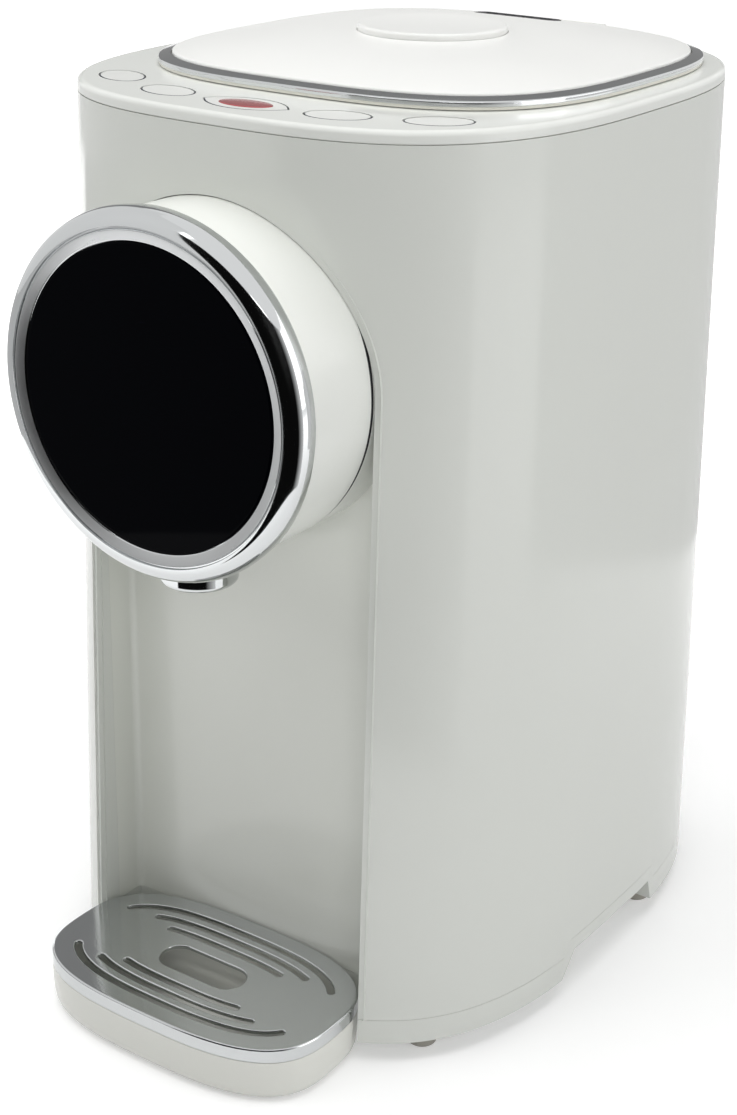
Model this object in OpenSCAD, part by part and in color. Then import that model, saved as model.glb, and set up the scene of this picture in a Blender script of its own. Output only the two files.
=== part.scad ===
// Electric thermo pot: a drafted casing with a round dispensing head above a drip tray niche.
// It stands on z = 0 with +Z up, its head faces -Y, and every length is in millimetres.

/* [Body] */
// Width of the body at its top rim
rim_width = 210; // [206:1:214]
// Depth of the body at its top rim
rim_depth = 242.6; // [240:0.2:248]
// How far each side leans out between the rim and the ground
side_draft = 5.1; // [4:0.1:6]
// How far the front and the back lean out between the rim and the ground
front_draft = 10.2; // [9:0.1:11.5]
// Exponent of the body's outline, where 2 is an ellipse and more is squarer
squareness = 2.97; // [2.85:0.01:3.2]
// Height of the top rim above the ground
rim_height = 358.5; // [352:0.5:370]
// Radius of the rim's rounded top edge
rim_round = 2; // [1.5:0.1:2.5]
// Height of the collar's band between the casing seam and the rim
collar_band = 4.6; // [4:0.1:6]
// Wall of the outer casing
casing_wall = 2.6; // [2.2:0.1:3]
// Height of the rubber feet
foot_height = 8.6; // [6:0.1:10]
// Radius of the rubber feet
foot_radius = 6.5; // [5:0.1:8]
// Height of the base cover's band
base_band = 10.4; // [9:0.1:12]
// Floor and wall of the base cover
base_wall = 2.6; // [2.2:0.1:3]

/* [Finger scoops] */
// Depth along Y at which the scoop's flat roof begins
scoop_front = 30; // [26:1:34]
// Depth along Y at which the scoop's flat roof ends
scoop_rear = 34; // [30:1:38]
// Length along Y of the front slope
scoop_slope = 16; // [12:1:20]
// Length along Y of the rear slope
scoop_heel = 7; // [5:1:10]
// Rise of the scoop above the base cover's underside
scoop_rise = 11; // [9:0.5:12]
// Distance of the scoop's inner wall from the middle plane
scoop_wall_x = 93; // [90:1:96]
// How far the band over a scoop rises above its roof
scoop_brow = 6; // [5:0.5:8]

/* [Niche] */
// How far each side of the niche stands out beyond the head shell at the ground
niche_flare = 1.7; // [1.4:0.1:2.4]
// Distance of the niche's back panel from the body's middle
niche_back = 96; // [94:0.5:97]
// Distance of the rear edge of the casing's lip from the body's middle
lip_back = 109.5; // [107:0.5:111]
// Wall of the casing's lip and of the niche liner
liner_wall = 2.2; // [1.8:0.1:2.6]

/* [Head] */
// Distance of the head's axis below the rim
head_drop = 92.5; // [89:0.5:96]
// Radius of the head shell
head_radius = 63.7; // [62:0.1:65]
// Distance of the head shell's front end from the body's middle
head_front = 149; // [146:0.5:152]
// Distance of the joint between head shell and neck from the body's middle
neck_joint = 115; // [113:0.5:116.5]
// Wall of the head shell and of the neck
head_wall = 2.6; // [2.2:0.1:3]
// How far the bright bezel ring stands out beyond the head shell
bezel_lip = 2.8; // [2.3:0.1:4]
// Width of the bezel ring from its outer edge to the display glass
bezel_width = 11.5; // [10.5:0.5:13]
// Thickness of the display glass
glass_thick = 2.2; // [1.6:0.1:2.6]

/* [Nozzle and hose] */
// Distance of the nozzle's axis behind the middle of the head shell
nozzle_setback = 0.3; // [0:0.1:1]
// Outer radius of the nozzle
nozzle_radius = 14.5; // [13:0.1:15.5]
// Radius of the nozzle's bore
nozzle_bore = 9; // [7.5:0.1:10.5]
// How far the nozzle reaches below the head shell
nozzle_length = 11.6; // [9:0.1:14]
// Outer radius of the silicone hose
hose_radius = 5.6; // [5.2:0.1:6.2]
// Outer radius of the rigid tube and stubs that the hose is pushed over
stub_radius = 4; // [3.6:0.1:4.4]
// Bore radius of the rigid tube and stubs
stub_bore = 2.8; // [2.4:0.1:3]
// Radius of the hose's and the tube's bends
bend_radius = 8; // [7.5:0.1:9]
// Gap between the water pot's stand and the rising hose
riser_gap = 5.4; // [4.6:0.2:6.4]

/* [Lid] */
// Width of the collar beside the lid
lid_side = 11.4; // [10.6:0.1:12.4]
// Depth of the collar's deck in front of the lid
lid_deck = 41.7; // [41:0.1:43]
// Depth of the collar behind the lid
lid_back = 8.9; // [8.6:0.1:9.4]
// Exponent of the lid's outline
lid_squareness = 3.05; // [2.95:0.01:3.2]
// Gap between the collar and the closed lid
lid_gap = 0.3; // [0.3:0.05:0.5]
// Thickness of the lid's white rim plate
lid_rim = 1.7; // [1.6:0.1:2.2]
// Width of the bright trim
trim_width = 5.4; // [4.5:0.1:6]
// Thickness of the bright trim
trim_thick = 1.4; // [1.2:0.1:1.8]
// Rise of the lid cover's crown above the trim
crown_rise = 8.4; // [7.6:0.1:9]
// Wall of the lid cover
lid_wall = 2.4; // [2:0.1:2.8]
// Gap between the well and the lid's plug above the gasket
plug_gap = 3; // [2.5:0.5:4]
// Step in the lid's plug at the gasket
plug_step = 9; // [8:0.5:12]
// Depth of the plug's lower end under the rim
plug_depth = 23.5; // [22:0.5:25]
// Depth of the gasket's upper face under the rim
gasket_drop = 9; // [8.6:0.1:9.2]
// Height of the hinge axis above the rim
hinge_rise = 1.9; // [1.8:0.1:2.1]
// Distance of the hinge axis behind the lid's trim
hinge_offset = 3; // [2.9:0.1:3.2]
// Radius of the hinge barrels
barrel_radius = 2.6; // [2.4:0.05:2.7]
// Radius of the hinge pin
hinge_pin_radius = 1.2; // [1:0.1:1.4]
// Half the length of the lid's hinge barrel
barrel_half = 14; // [12:0.5:18]
// Length of each hinge ear on the collar
ear_length = 6; // [5:0.5:8]

/* [Lid knob] */
// Radius of the round knob
knob_radius = 29; // [27:0.5:30]
// Distance of the knob's axis behind the body's middle
knob_shift = 14.7; // [13:0.1:17]
// Height of the knob's top above the lid's crown
knob_proud = 2.4; // [2:0.1:3]
// Travel of the knob
knob_travel = 3; // [2.5:0.1:3.4]
// Radius of the knob's stem
stem_radius = 5; // [4.5:0.1:5.5]
// Wire radius of the knob's spring
wire_radius = 0.6; // [0.5:0.05:0.8]
// Number of turns in the knob's spring
spring_turns = 7; // [5:1:9]

/* [Steam vent] */
// Distance of the vent behind the body's middle
vent_shift = 78; // [74:1:82]
// Half the length of the vent
vent_half = 20; // [17:0.5:22]
// Half the width of the vent
vent_half_width = 4.6; // [4:0.1:5]

/* [Keys] */
// Length of the four oval keys
key_length = 24; // [22:0.5:25]
// Width of the four oval keys
key_width = 16; // [14:0.5:17]
// Length of the middle key
pour_key_length = 36.8; // [32:0.2:38]
// Width of the middle key
pour_key_width = 19.6; // [18:0.2:20.4]
// Length of the red inlay in the middle key
inlay_length = 22; // [18:0.5:24]
// Width of the red inlay in the middle key
inlay_width = 12.4; // [9:0.2:13]
// Travel of every key
key_travel = 0.8; // [0.5:0.1:0.9]

/* [Drip tray] */
// Width of the drip tray
tray_width = 129; // [125:0.5:129.4]
// Depth of the drip tray
tray_depth = 75.4; // [72:0.2:75.8]
// Exponent of the tray's outline
tray_squareness = 2.94; // [2.8:0.02:3.1]
// Height of the grille's top
tray_height = 24.5; // [23.5:0.1:26]
// Height of the grille's bright band
grille_band = 5.9; // [5:0.1:6.5]
// Thickness of the grille's plate
grille_plate = 1.5; // [1.2:0.1:2]
// Wall of the drip tray
tray_wall = 2.2; // [1.8:0.1:2.6]
// Width of the grille's slots
slot_width = 3; // [2.4:0.1:3.4]
// Step from one ring of slots to the next
slot_step = 6.4; // [6:0.1:6.8]

/* [Water pot] */
// Distance of the water pot's axis behind the body's middle
pot_shift = 18; // [17:0.5:19]
// Inner radius of the water pot
pot_radius = 79; // [76:0.5:80]
// Wall of the water pot
pot_wall = 1; // [0.8:0.1:1.4]
// Height of the water pot's underside above the ground
pot_floor = 95; // [92:1:100]
// Width of the water pot's flange
flange_width = 8; // [7:0.5:9]
// How much narrower the collar's well is than the water pot
well_step = 3; // [2:0.5:3.5]
// Width of the ledge under the lid's gasket
ledge_width = 6; // [5:0.5:7]
// Thickness of the insulation jacket
jacket_thick = 7; // [5:0.5:9]
// Radius of the heater plate
heater_radius = 48; // [44:1:50]

/* [Pump] */
// Distance of the pump's axis from the body's middle
pump_reach = 38; // [36:0.5:40]
// Outer radius of the pump housing
pump_radius = 22; // [20:0.5:23]
// Radius of the impeller
impeller_radius = 16.5; // [14:0.5:17]
// Number of impeller blades
blade_count = 6; // [4:1:8]
// Radius of the motor
motor_radius = 17; // [15:0.5:18]
// Length of the motor
motor_length = 30; // [26:1:32]
// Radius of the motor shaft
shaft_radius = 1.5; // [1.2:0.1:2]

/* [Clearances] */
// Gap between pieces that move or are fitted by hand
fit_gap = 0.3; // [0.3:0.05:0.35]
// Radial gap between a shaft and its bore
running_gap = 0.05; // [0.03:0.01:0.08]

/* [Hidden] */
$fn = 64;
eps = 0.01;
far = rim_height + 60;
outline_points = 96;

// Colours of the finishes
white = [0.93, 0.93, 0.90];
chrome = [0.78, 0.79, 0.80];
steel = [0.72, 0.73, 0.74];
black = [0.03, 0.03, 0.04];
dark_grey = [0.30, 0.31, 0.32];
board_green = [0.10, 0.38, 0.22];
silicone = [0.86, 0.84, 0.78];
key_red = [0.72, 0.34, 0.36];

// Sizes that follow the rim, the head and the water pot
head_height = rim_height - head_drop;
niche_half = head_radius + niche_flare;
bezel_radius = head_radius + bezel_lip;
glass_radius = bezel_radius - bezel_width;
nozzle_reach = (neck_joint + head_front) / 2 - nozzle_setback;
nozzle_tip = head_height - head_radius - nozzle_length;
well_radius = pot_radius - well_step;
mouth_radius = well_radius - ledge_width;
plug_radius = well_radius - plug_gap;
plug_nose_radius = plug_radius - plug_step;
stand_rim_in = pot_radius + pot_wall + fit_gap;
stand_rim_out = pot_radius + pot_wall + 2 + jacket_thick;
riser_reach = stand_rim_out - pot_shift + riser_gap + hose_radius;
lid_width = rim_width - 2 * lid_side;
lid_depth = rim_depth - lid_deck - lid_back;
lid_shift = (lid_deck - lid_back) / 2;
deck_front = -rim_depth / 2;

// Heights that several pieces share
base_seam = foot_height + base_band;
floor_top = foot_height + base_wall;
collar_seam = rim_height - collar_band;
collar_plate = 2.6;
plate_under = rim_height - collar_plate;
spigot_drop = 6;
spigot_wall = 2;

// Lid levels, counted up from the rim
lid_seat = rim_height + lid_gap;
trim_seat = lid_seat + lid_rim;
trim_top = trim_seat + trim_thick;
cover_edge = trim_top + 0.8;
crown_top = trim_top + crown_rise;
knob_top = crown_top + knob_proud;
hinge_y = lid_shift + lid_depth / 2 + hinge_offset;
hinge_z = rim_height + hinge_rise;

// Collar well and pot mouth
ledge_top = rim_height - 11.5;
ledge_thick = 2.5;
gasket_thick = 1.5;
flange_top = ledge_top - ledge_thick - gasket_thick;
flange_radius = pot_radius + pot_wall + flange_width;
well_wall = 2.5;

// Keys: name order, place, turn and size
key_spots = [[-69.4, deck_front + 34.7, -32], [-37, deck_front + 22.1, -14], [0, deck_front + 19.4, 0],
  [37, deck_front + 22.1, 14], [69.4, deck_front + 34.7, 32]];
pour_key_index = 2;
key_flange = 1.2;
key_flange_thick = 1;
board_thick = 1.6;
board_top = plate_under - 9.3;
mat_thick = 0.8;
stem_bottom = plate_under - 4.4;
dome_top = stem_bottom - key_travel - fit_gap;
post_radius = 2.4;
post_spots = [[-50, deck_front + 43.3], [-18.5, deck_front + 41.3], [18.5, deck_front + 41.3],
  [50, deck_front + 43.3]];

// Screws
screw_radius = 1.5;
screw_head_radius = 2.8;
screw_head_thick = 1.8;

// Stand and heater
stand_thick = 6;
stand_top = pot_floor;
stand_rim_height = 5.5;
leg_radius = 5.5;
leg_ring = pot_radius - 5;
leg_angles = [40, 140, 220, 320];
heater_thick = 5;
heater_shift = 26;
element_radius = 3.2;
element_ring = 34;

// Pump, all heights above the ground
motor_bottom = 22;
motor_top = motor_bottom + motor_length;
backplate_thick = 3;
housing_bottom = motor_top + backplate_thick;
housing_height = 14;
housing_wall = 2.4;
housing_top = housing_bottom + housing_height;
outlet_height = housing_bottom + 5.6;
hose_bore = stub_radius;

// Gap behind the tray, and the shift that puts the origin under the middle of the whole object
tray_gap = 0.8;
body_y = (niche_back + tray_gap + tray_depth - half_depth(foot_height)) / 2;

// Outline of a rounded plan shape with half width a, half depth b and exponent e
function rounded(a, b, e, n = outline_points) = [for (i = [0:n - 1])
  let (t = 360 * i / n, c = cos(t), s = sin(t), r = pow(pow(abs(c), e) + pow(abs(s), e), -1 / e))
  [a * r * c, b * r * s]];

// Half width and half depth of the body at height z
function half_width(z) = rim_width / 2 + side_draft * (rim_height - z) / rim_height;
function half_depth(z) = rim_depth / 2 + front_draft * (rim_height - z) / rim_height;

module placed() translate([0, body_y, 0]) children();

// Solid between two heights that follows the body's outline, set in by inset
module drafted(z0, z1, inset = 0) {
  a = half_width(z0) - inset;
  b = half_depth(z0) - inset;
  translate([0, 0, z0])
    linear_extrude(height = z1 - z0, slices = 1,
      scale = [(half_width(z1) - inset) / a, (half_depth(z1) - inset) / b])
      polygon(rounded(a, b, squareness));
}

// Collar's outer form: a straight band with a rounded top edge
module collar_form() {
  base = rim_height - rim_round;
  hull() {
    drafted(collar_seam, base);
    for (turn = [30, 60, 90])
      drafted(base, base + rim_round * sin(turn), rim_round * (1 - cos(turn)));
  }
}

// Upright plate with a rounded outline
module slab(a, b, e, z0, z1) {
  translate([0, 0, z0]) linear_extrude(z1 - z0) polygon(rounded(a, b, e));
}

module disc(r, z0, z1) {
  translate([0, 0, z0]) cylinder(r = r, h = z1 - z0);
}

module ring(r_out, r_in, z0, z1) {
  difference() {
    disc(r_out, z0, z1);
    disc(r_in, z0 - 1, z1 + 1);
  }
}

// A drawing in X and Z, made solid from y_back forwards to y_front
module front_extrude(y_back, y_front) {
  translate([0, y_back, 0]) rotate([90, 0, 0]) linear_extrude(y_back - y_front) children();
}

// A drawing in Y and Z, made solid from x0 to x1
module side_extrude(x0, x1) {
  translate([x0, 0, 0]) rotate([90, 0, 90]) linear_extrude(x1 - x0) children();
}

// Solid of revolution about the head's axis, whose drawing is radius against reach to the front
module head_revolve() {
  translate([0, 0, head_height]) rotate([90, 0, 0]) rotate_extrude($fn = 96) children();
}

module head_ring(r_out, r_in, y_back, y_front) {
  head_revolve() translate([r_in, -y_back]) square([r_out - r_in, y_back - y_front]);
}

module at_pot() translate([0, pot_shift, 0]) children();

module at_pump() translate([0, -pump_reach, 0]) children();

module at_lid() translate([0, lid_shift, 0]) children();

module at_knob() translate([0, knob_shift, 0]) children();

module at_tray() translate([0, -(niche_back + tray_gap + tray_depth / 2), 0]) children();

module both_sides() {
  children();
  mirror([1, 0, 0]) children();
}

// Screw with its head down at height z and its shank pointing up
module screw(z, shank, head = screw_head_thick) {
  disc(screw_head_radius, z, z + head);
  disc(screw_radius, z + head - eps, z + head + shank);
}

// ---- Casing, niche and base ----

// Arched opening of the niche in X and Z, which the round head closes at the top
module arch(grow = 0) {
  bore = head_radius + fit_gap + grow;
  foot = niche_half + grow;
  translate([0, head_height]) circle(r = bore, $fn = 96);
  polygon([[-foot, -1], [foot, -1], [bore, head_height], [-bore, head_height]]);
}

// Drawing of a finger scoop in Y and Z
module scoop(grow = 0) {
  roof = foot_height + scoop_rise + grow;
  polygon([[-scoop_front - scoop_slope - grow, -1], [-scoop_front - grow / 2, roof],
    [scoop_rear + grow / 2, roof], [scoop_rear + scoop_heel + grow, -1]]);
}

module scoop_cuts(grow = 0, inner = scoop_wall_x) {
  both_sides() side_extrude(inner, far) scoop(grow);
}

inlet_width = 30;
inlet_height = 24;
inlet_z = 46;
inlet_depth = 26;
inlet_frame = 2.4;
inlet_lip = 2;

module outer_casing() placed() color(white) difference() {
  drafted(base_seam, collar_seam);
  difference() {
    drafted(base_seam - 1, collar_seam + 1, casing_wall);
    front_extrude(-lip_back, -far) arch(liner_wall);
  }
  front_extrude(-lip_back + 1, -far) arch();
  scoop_cuts(scoop_brow, scoop_wall_x - base_wall);
  translate([-inlet_width / 2 - fit_gap, 0, inlet_z - inlet_height / 2 - fit_gap])
    cube([inlet_width + 2 * fit_gap, far, inlet_height + 2 * fit_gap]);
}

liner_flange = 7;
liner_top = head_height + head_radius + 9;

module niche_liner() placed() color(white) difference() {
  union() {
    front_extrude(-niche_back + liner_wall, -lip_back) arch(liner_wall);
    intersection() {
      front_extrude(-lip_back + liner_wall, -lip_back) arch(liner_wall + liner_flange);
      translate([-far / 2, -far, base_seam + 6]) cube([far, 2 * far, liner_top - base_seam - 6]);
      drafted(base_seam, collar_seam, casing_wall + 1);
    }
  }
  front_extrude(-niche_back, -far) arch();
  translate([-far / 2, -far, -1]) cube([far, far, base_seam + 1]);
  translate([0, 0, head_height]) rotate([90, 0, 0]) cylinder(r = head_radius - 11, h = far);
  neck_screw_places() cylinder(r = screw_radius + running_gap, h = 40, center = true);
}

tongue_half = 22;
tongue_z = 10.4;
tongue_thick = 3;
tongue_length = 9;
pad_radius = motor_radius + 3;
main_board_z = 17;
main_board_half = 48;
main_board_near = 58;
main_board_depth = 52;
board_posts = [for (y = [main_board_near + 6, main_board_near + main_board_depth - 6], x = [-1, 1])
  [x * (main_board_half - 6), y]];

// Plan of the base: body outline without the niche
module base_plan(z0, z1, inset) {
  difference() {
    drafted(z0, z1, inset);
    translate([-niche_half - inset, -far, z0 - 1])
      cube([2 * (niche_half + inset), far - niche_back + inset, z1 - z0 + 2]);
  }
}

module base_cover() placed() color(white) difference() {
  union() {
    difference() {
      base_plan(foot_height, base_seam, 0);
      base_plan(floor_top, base_seam + 1, base_wall);
    }
    intersection() {
      difference() {
        drafted(base_seam - 2, base_seam + 12);
        drafted(base_seam - 3, base_seam + 13, casing_wall);
      }
      scoop_cuts(scoop_brow, scoop_wall_x - base_wall);
    }
    intersection() {
      drafted(foot_height, base_seam + 12, 0.5);
      scoop_cuts(base_wall, scoop_wall_x - base_wall);
    }
    at_pump() difference() {
      disc(pad_radius, floor_top - eps, motor_bottom + 8);
      disc(motor_radius + fit_gap, motor_bottom, far);
    }
    for (p = board_posts) translate([p[0], p[1], 0]) disc(3.5, floor_top - eps, main_board_z);
    translate([-tongue_half - 4, -niche_back, floor_top - eps])
      cube([2 * tongue_half + 8, base_wall + 1, base_band - base_wall]);
  }
  scoop_cuts();
  translate([-tongue_half - fit_gap, -niche_back - 1, tongue_z - fit_gap])
    cube([2 * (tongue_half + fit_gap), 12, tongue_thick + 2 * fit_gap]);
  leg_places() {
    disc(screw_head_radius + fit_gap, foot_height - 1, base_screw_seat);
    disc(screw_radius + running_gap, foot_height - 1, floor_top + 1);
  }
}

base_screw_seat = foot_height + 1.5;
foot_spots = [[78, -94.5], [96, 50], [56, 106]];

module feet() placed() color(dark_grey) both_sides()
  for (p = foot_spots) translate([p[0], p[1], 0])
    cylinder(r1 = foot_radius - 0.7, r2 = foot_radius, h = foot_height);

module leg_places() at_pot() for (a = leg_angles) rotate(a) translate([leg_ring, 0, 0]) children();

module base_screws() placed() color(steel) leg_places() screw(base_screw_seat - screw_head_thick, 10);

module inlet_block(grow = 0) {
  translate([-inlet_width / 2 - grow, 0, inlet_z - inlet_height / 2 - grow])
    cube([inlet_width + 2 * grow, inlet_depth, inlet_height + 2 * grow]);
}

inlet_back = half_depth(inlet_z) - inlet_depth;

module power_inlet() placed() color(black) translate([0, inlet_back, 0]) difference() {
  union() {
    inlet_block();
    intersection() {
      inlet_block(inlet_lip);
      translate([0, -inlet_back, 0]) drafted(base_seam, collar_seam, casing_wall);
      translate([-far / 2, inlet_depth - 8, 0]) cube([far, far, far]);
    }
  }
  translate([-inlet_width / 2 + inlet_frame, 7, inlet_z - inlet_height / 2 + inlet_frame])
    cube([inlet_width - 2 * inlet_frame, far, inlet_height - 2 * inlet_frame]);
  for (p = pin_spots) translate([p[0], -1, p[1]]) rotate([-90, 0, 0]) cylinder(r = 2, h = 12);
}

pin_spots = [[-7, inlet_z - 3], [7, inlet_z - 3], [0, inlet_z + 4]];

module inlet_pins() placed() color(steel) translate([0, inlet_back, 0])
  for (p = pin_spots) translate([p[0], -6, p[1]]) rotate([-90, 0, 0]) cylinder(r = 2, h = 24);

board_hole = 1.6;

module main_board() placed() color(board_green) difference() {
  union() {
    translate([-main_board_half, main_board_near, main_board_z])
      cube([2 * main_board_half, main_board_depth, board_thick]);
    translate([-30, 70, main_board_z + board_thick]) cube([24, 22, 18]);
    translate([8, 68, main_board_z + board_thick]) cube([16, 12, 14]);
    translate([12, 96, main_board_z + board_thick]) cylinder(r = 6, h = 20);
    translate([30, 90, main_board_z + board_thick]) cylinder(r = 4, h = 13);
  }
  for (p = board_posts) translate([p[0], p[1], 0]) disc(board_hole, main_board_z - 1, main_board_z + 3);
}

// ---- Water pot and heating ----

module pot_stand() placed() color(silicone) difference() {
  union() {
    at_pot() {
      ring(stand_rim_out, stand_rim_in, stand_top - stand_thick, stand_top + stand_rim_height);
      ring(stand_rim_out, leg_ring - leg_radius - 2, stand_top - stand_thick, stand_top);
    }
    leg_places() disc(leg_radius, floor_top, stand_top - stand_thick + 1);
  }
  leg_places() disc(screw_radius, floor_top - 1, floor_top + 12);
}

module inner_pot() placed() color(steel) at_pot() difference() {
  union() {
    disc(pot_radius + pot_wall, pot_floor, flange_top);
    disc(flange_radius, flange_top - pot_wall, flange_top);
    translate([0, -pump_reach - pot_shift, 0]) disc(stub_radius, pot_floor - 8, pot_floor + 1);
  }
  disc(pot_radius, pot_floor + pot_wall, far);
  translate([0, -pump_reach - pot_shift, 0]) disc(stub_bore, pot_floor - 9, pot_floor + 3);
}

jacket_bottom = stand_top + stand_rim_height;

module insulation_jacket() placed() color(silicone) at_pot()
  ring(stand_rim_out, pot_radius + pot_wall + 0.6, jacket_bottom, flange_top - pot_wall - 5);

module pot_gasket() placed() color(dark_grey) at_pot()
  ring(flange_radius - 1, mouth_radius + 2, flange_top, flange_top + gasket_thick);

module heater_plate() placed() color(steel) translate([0, heater_shift, 0])
  disc(heater_radius, pot_floor - heater_thick, pot_floor);

module heating_element() placed() color(dark_grey) translate([0, heater_shift, pot_floor - heater_thick]) {
  rotate(120) rotate_extrude(angle = 300) translate([element_ring - element_radius, -2 * element_radius])
    square(2 * element_radius);
  for (a = [115, 65]) rotate(a) translate([element_ring, 0, -20]) cylinder(r = 2, h = 20);
}

module thermostat() placed() color(black) translate([0, heater_shift, 0]) {
  disc(12, pot_floor - heater_thick - 8, pot_floor - heater_thick);
  for (x = [-7, 7]) translate([x - 3, -0.5, pot_floor - heater_thick - 15]) cube([6, 1, 8]);
}

sensor_spot = [-30, -22];

module temperature_sensor() placed() color(steel)
  translate([sensor_spot[0], sensor_spot[1], 0]) {
    disc(3.2, pot_floor - 14, pot_floor);
    disc(4.6, pot_floor - 10, pot_floor - 8);
  }

// ---- Pump and water way ----

module pump_housing() placed() color(silicone) at_pump() difference() {
  union() {
    disc(pump_radius, housing_bottom, housing_top);
    disc(stub_radius, housing_top - eps, housing_top + 10);
    translate([0, 0, outlet_height]) rotate([90, 0, 0])
      cylinder(r = stub_radius, h = riser_reach - pump_reach - bend_radius - 1);
  }
  disc(pump_radius - housing_wall, housing_bottom - 1, housing_top - housing_wall);
  disc(stub_bore, housing_bottom, far);
  translate([0, 0, outlet_height]) rotate([90, 0, 0]) cylinder(r = stub_bore, h = far);
}

module pump_backplate() placed() color(dark_grey) at_pump()
  ring(pump_radius, shaft_radius + running_gap, motor_top, housing_bottom);

hub_radius = 4;
impeller_bottom = housing_bottom + 1;
blade_height = 5;

module pump_impeller() placed() color(white) at_pump() difference() {
  union() {
    disc(impeller_radius, impeller_bottom, impeller_bottom + 1.5);
    disc(hub_radius, impeller_bottom, impeller_bottom + 9);
    for (i = [0:blade_count - 1]) rotate(i * 360 / blade_count)
      intersection() {
        translate([0, impeller_radius / 2 + 2, 0])
          ring(impeller_radius / 2 + 1.2, impeller_radius / 2, impeller_bottom + 1,
            impeller_bottom + 1 + blade_height);
        translate([0, 0, impeller_bottom]) cube([far, far, 20]);
        ring(impeller_radius - 0.5, hub_radius - 1, impeller_bottom, impeller_bottom + 20);
      }
  }
  disc(shaft_radius, impeller_bottom - 1, impeller_bottom + 7);
}

shaft_bottom = motor_bottom + 12;

module motor_shaft() placed() color(steel) at_pump() disc(shaft_radius, shaft_bottom, impeller_bottom + 7);

module pump_motor() placed() color(dark_grey) at_pump() difference() {
  union() {
    disc(motor_radius, motor_bottom, motor_top - 3);
    disc(motor_radius - 7, motor_top - 3 - eps, motor_top);
  }
  disc(shaft_radius + running_gap, shaft_bottom - fit_gap, motor_top + 1);
}

module suction_hose() placed() color(silicone) at_pump()
  ring(hose_radius, hose_bore, housing_top + 2, pot_floor - 1.2);

// Quarter bend in the middle plane: its centre, the angle at which it starts, and its radii
module bend(y, z, start, r_out, r_in) {
  translate([0, y, z]) rotate([90, 0, 90]) rotate(start)
    rotate_extrude(angle = 90) translate([bend_radius, 0]) difference() {
      circle(r = r_out, $fn = 32);
      circle(r = r_in, $fn = 32);
    }
}

// Straight tube in the middle plane, from a point, along +Y, -Y or Z
module along_front(y0, y1, z, r_out, r_in) {
  translate([0, y0, z]) rotate([90, 0, 0]) difference() {
    cylinder(r = r_out, h = y0 - y1);
    translate([0, 0, -1]) cylinder(r = r_in, h = y0 - y1 + 2);
  }
}

module upright(y, z0, z1, r_out, r_in) translate([0, y, 0]) ring(r_out, r_in, z0, z1);

riser_end = -riser_reach - bend_radius - 6;

module riser_hose() placed() color(silicone) {
  along_front(-pump_reach - pump_radius - 1, -riser_reach + bend_radius, outlet_height,
    hose_radius, hose_bore);
  bend(-riser_reach + bend_radius, outlet_height + bend_radius, 180, hose_radius, hose_bore);
  upright(-riser_reach, outlet_height + bend_radius, head_height - bend_radius, hose_radius, hose_bore);
  bend(-riser_reach - bend_radius, head_height - bend_radius, 0, hose_radius, hose_bore);
  along_front(-riser_reach - bend_radius, riser_end, head_height, hose_radius, hose_bore);
}

spout_end = nozzle_tip + 12;

module spout_tube() placed() color(white) {
  along_front(-riser_reach - bend_radius - 0.5, -nozzle_reach + bend_radius, head_height,
    stub_radius, stub_bore);
  bend(-nozzle_reach + bend_radius, head_height - bend_radius, 90, stub_radius, stub_bore);
  upright(-nozzle_reach, spout_end, head_height - bend_radius, stub_radius, stub_bore);
}

nozzle_shoulder = head_height - head_radius + head_wall;

module nozzle() placed() color(chrome) difference() {
  union() {
    translate([0, -nozzle_reach, 0]) {
      disc(nozzle_radius, nozzle_tip + 1, nozzle_shoulder + 4);
      translate([0, 0, nozzle_tip]) cylinder(r1 = nozzle_radius - 1, r2 = nozzle_radius, h = 1 + eps);
      disc(stub_radius + 3, nozzle_shoulder, nozzle_shoulder + 9);
    }
    intersection() {
      translate([0, -nozzle_reach, 0]) disc(nozzle_radius + 2.4, nozzle_shoulder - 1, nozzle_shoulder + 4);
      head_ring(head_radius - head_wall, 0, -neck_joint, -head_front);
    }
  }
  head_ring(head_radius - head_wall, 0, -niche_back, -neck_joint - spigot_length - fit_gap);
  head_ring(head_radius - head_wall, 0, spigot_length + fit_gap - head_front, -head_front - 10);
  translate([0, -nozzle_reach, 0]) {
    disc(nozzle_bore, nozzle_tip - 1, spout_end - fit_gap);
    disc(stub_radius, nozzle_tip, far);
  }
}

// ---- Dispensing head ----

neck_hole = head_radius - 12;
neck_flange = 3;
spigot_length = 6;

module neck_screw_places() for (a = [30, 150, 270])
  translate([0, -niche_back, head_height]) rotate([90, 0, 0]) rotate(a)
    translate([head_radius - 7, 0, 0]) children();

module head_neck() placed() color(white) difference() {
  union() {
    head_ring(head_radius - fit_gap / 2, head_radius - head_wall, -niche_back, -neck_joint);
    head_ring(head_radius - head_wall + eps, neck_hole, -niche_back, -niche_back - neck_flange);
    head_ring(head_radius - head_wall - fit_gap / 2, head_radius - 2 * head_wall - fit_gap / 2,
      -niche_back - neck_flange + eps, -neck_joint - spigot_length);
  }
  neck_screw_places() cylinder(r = screw_radius, h = 40, center = true);
}

module neck_screws() placed() color(steel) neck_screw_places()
  translate([0, 0, -liner_wall - screw_head_thick]) {
    cylinder(r = screw_head_radius, h = screw_head_thick);
    cylinder(r = screw_radius, h = screw_head_thick + liner_wall + neck_flange - 0.4);
  }

module head_shell() placed() color(white) difference() {
  head_ring(head_radius, head_radius - head_wall, -neck_joint, -head_front);
  translate([0, -nozzle_reach, 0]) disc(nozzle_radius + fit_gap, nozzle_tip, head_height - 20);
}

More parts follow.
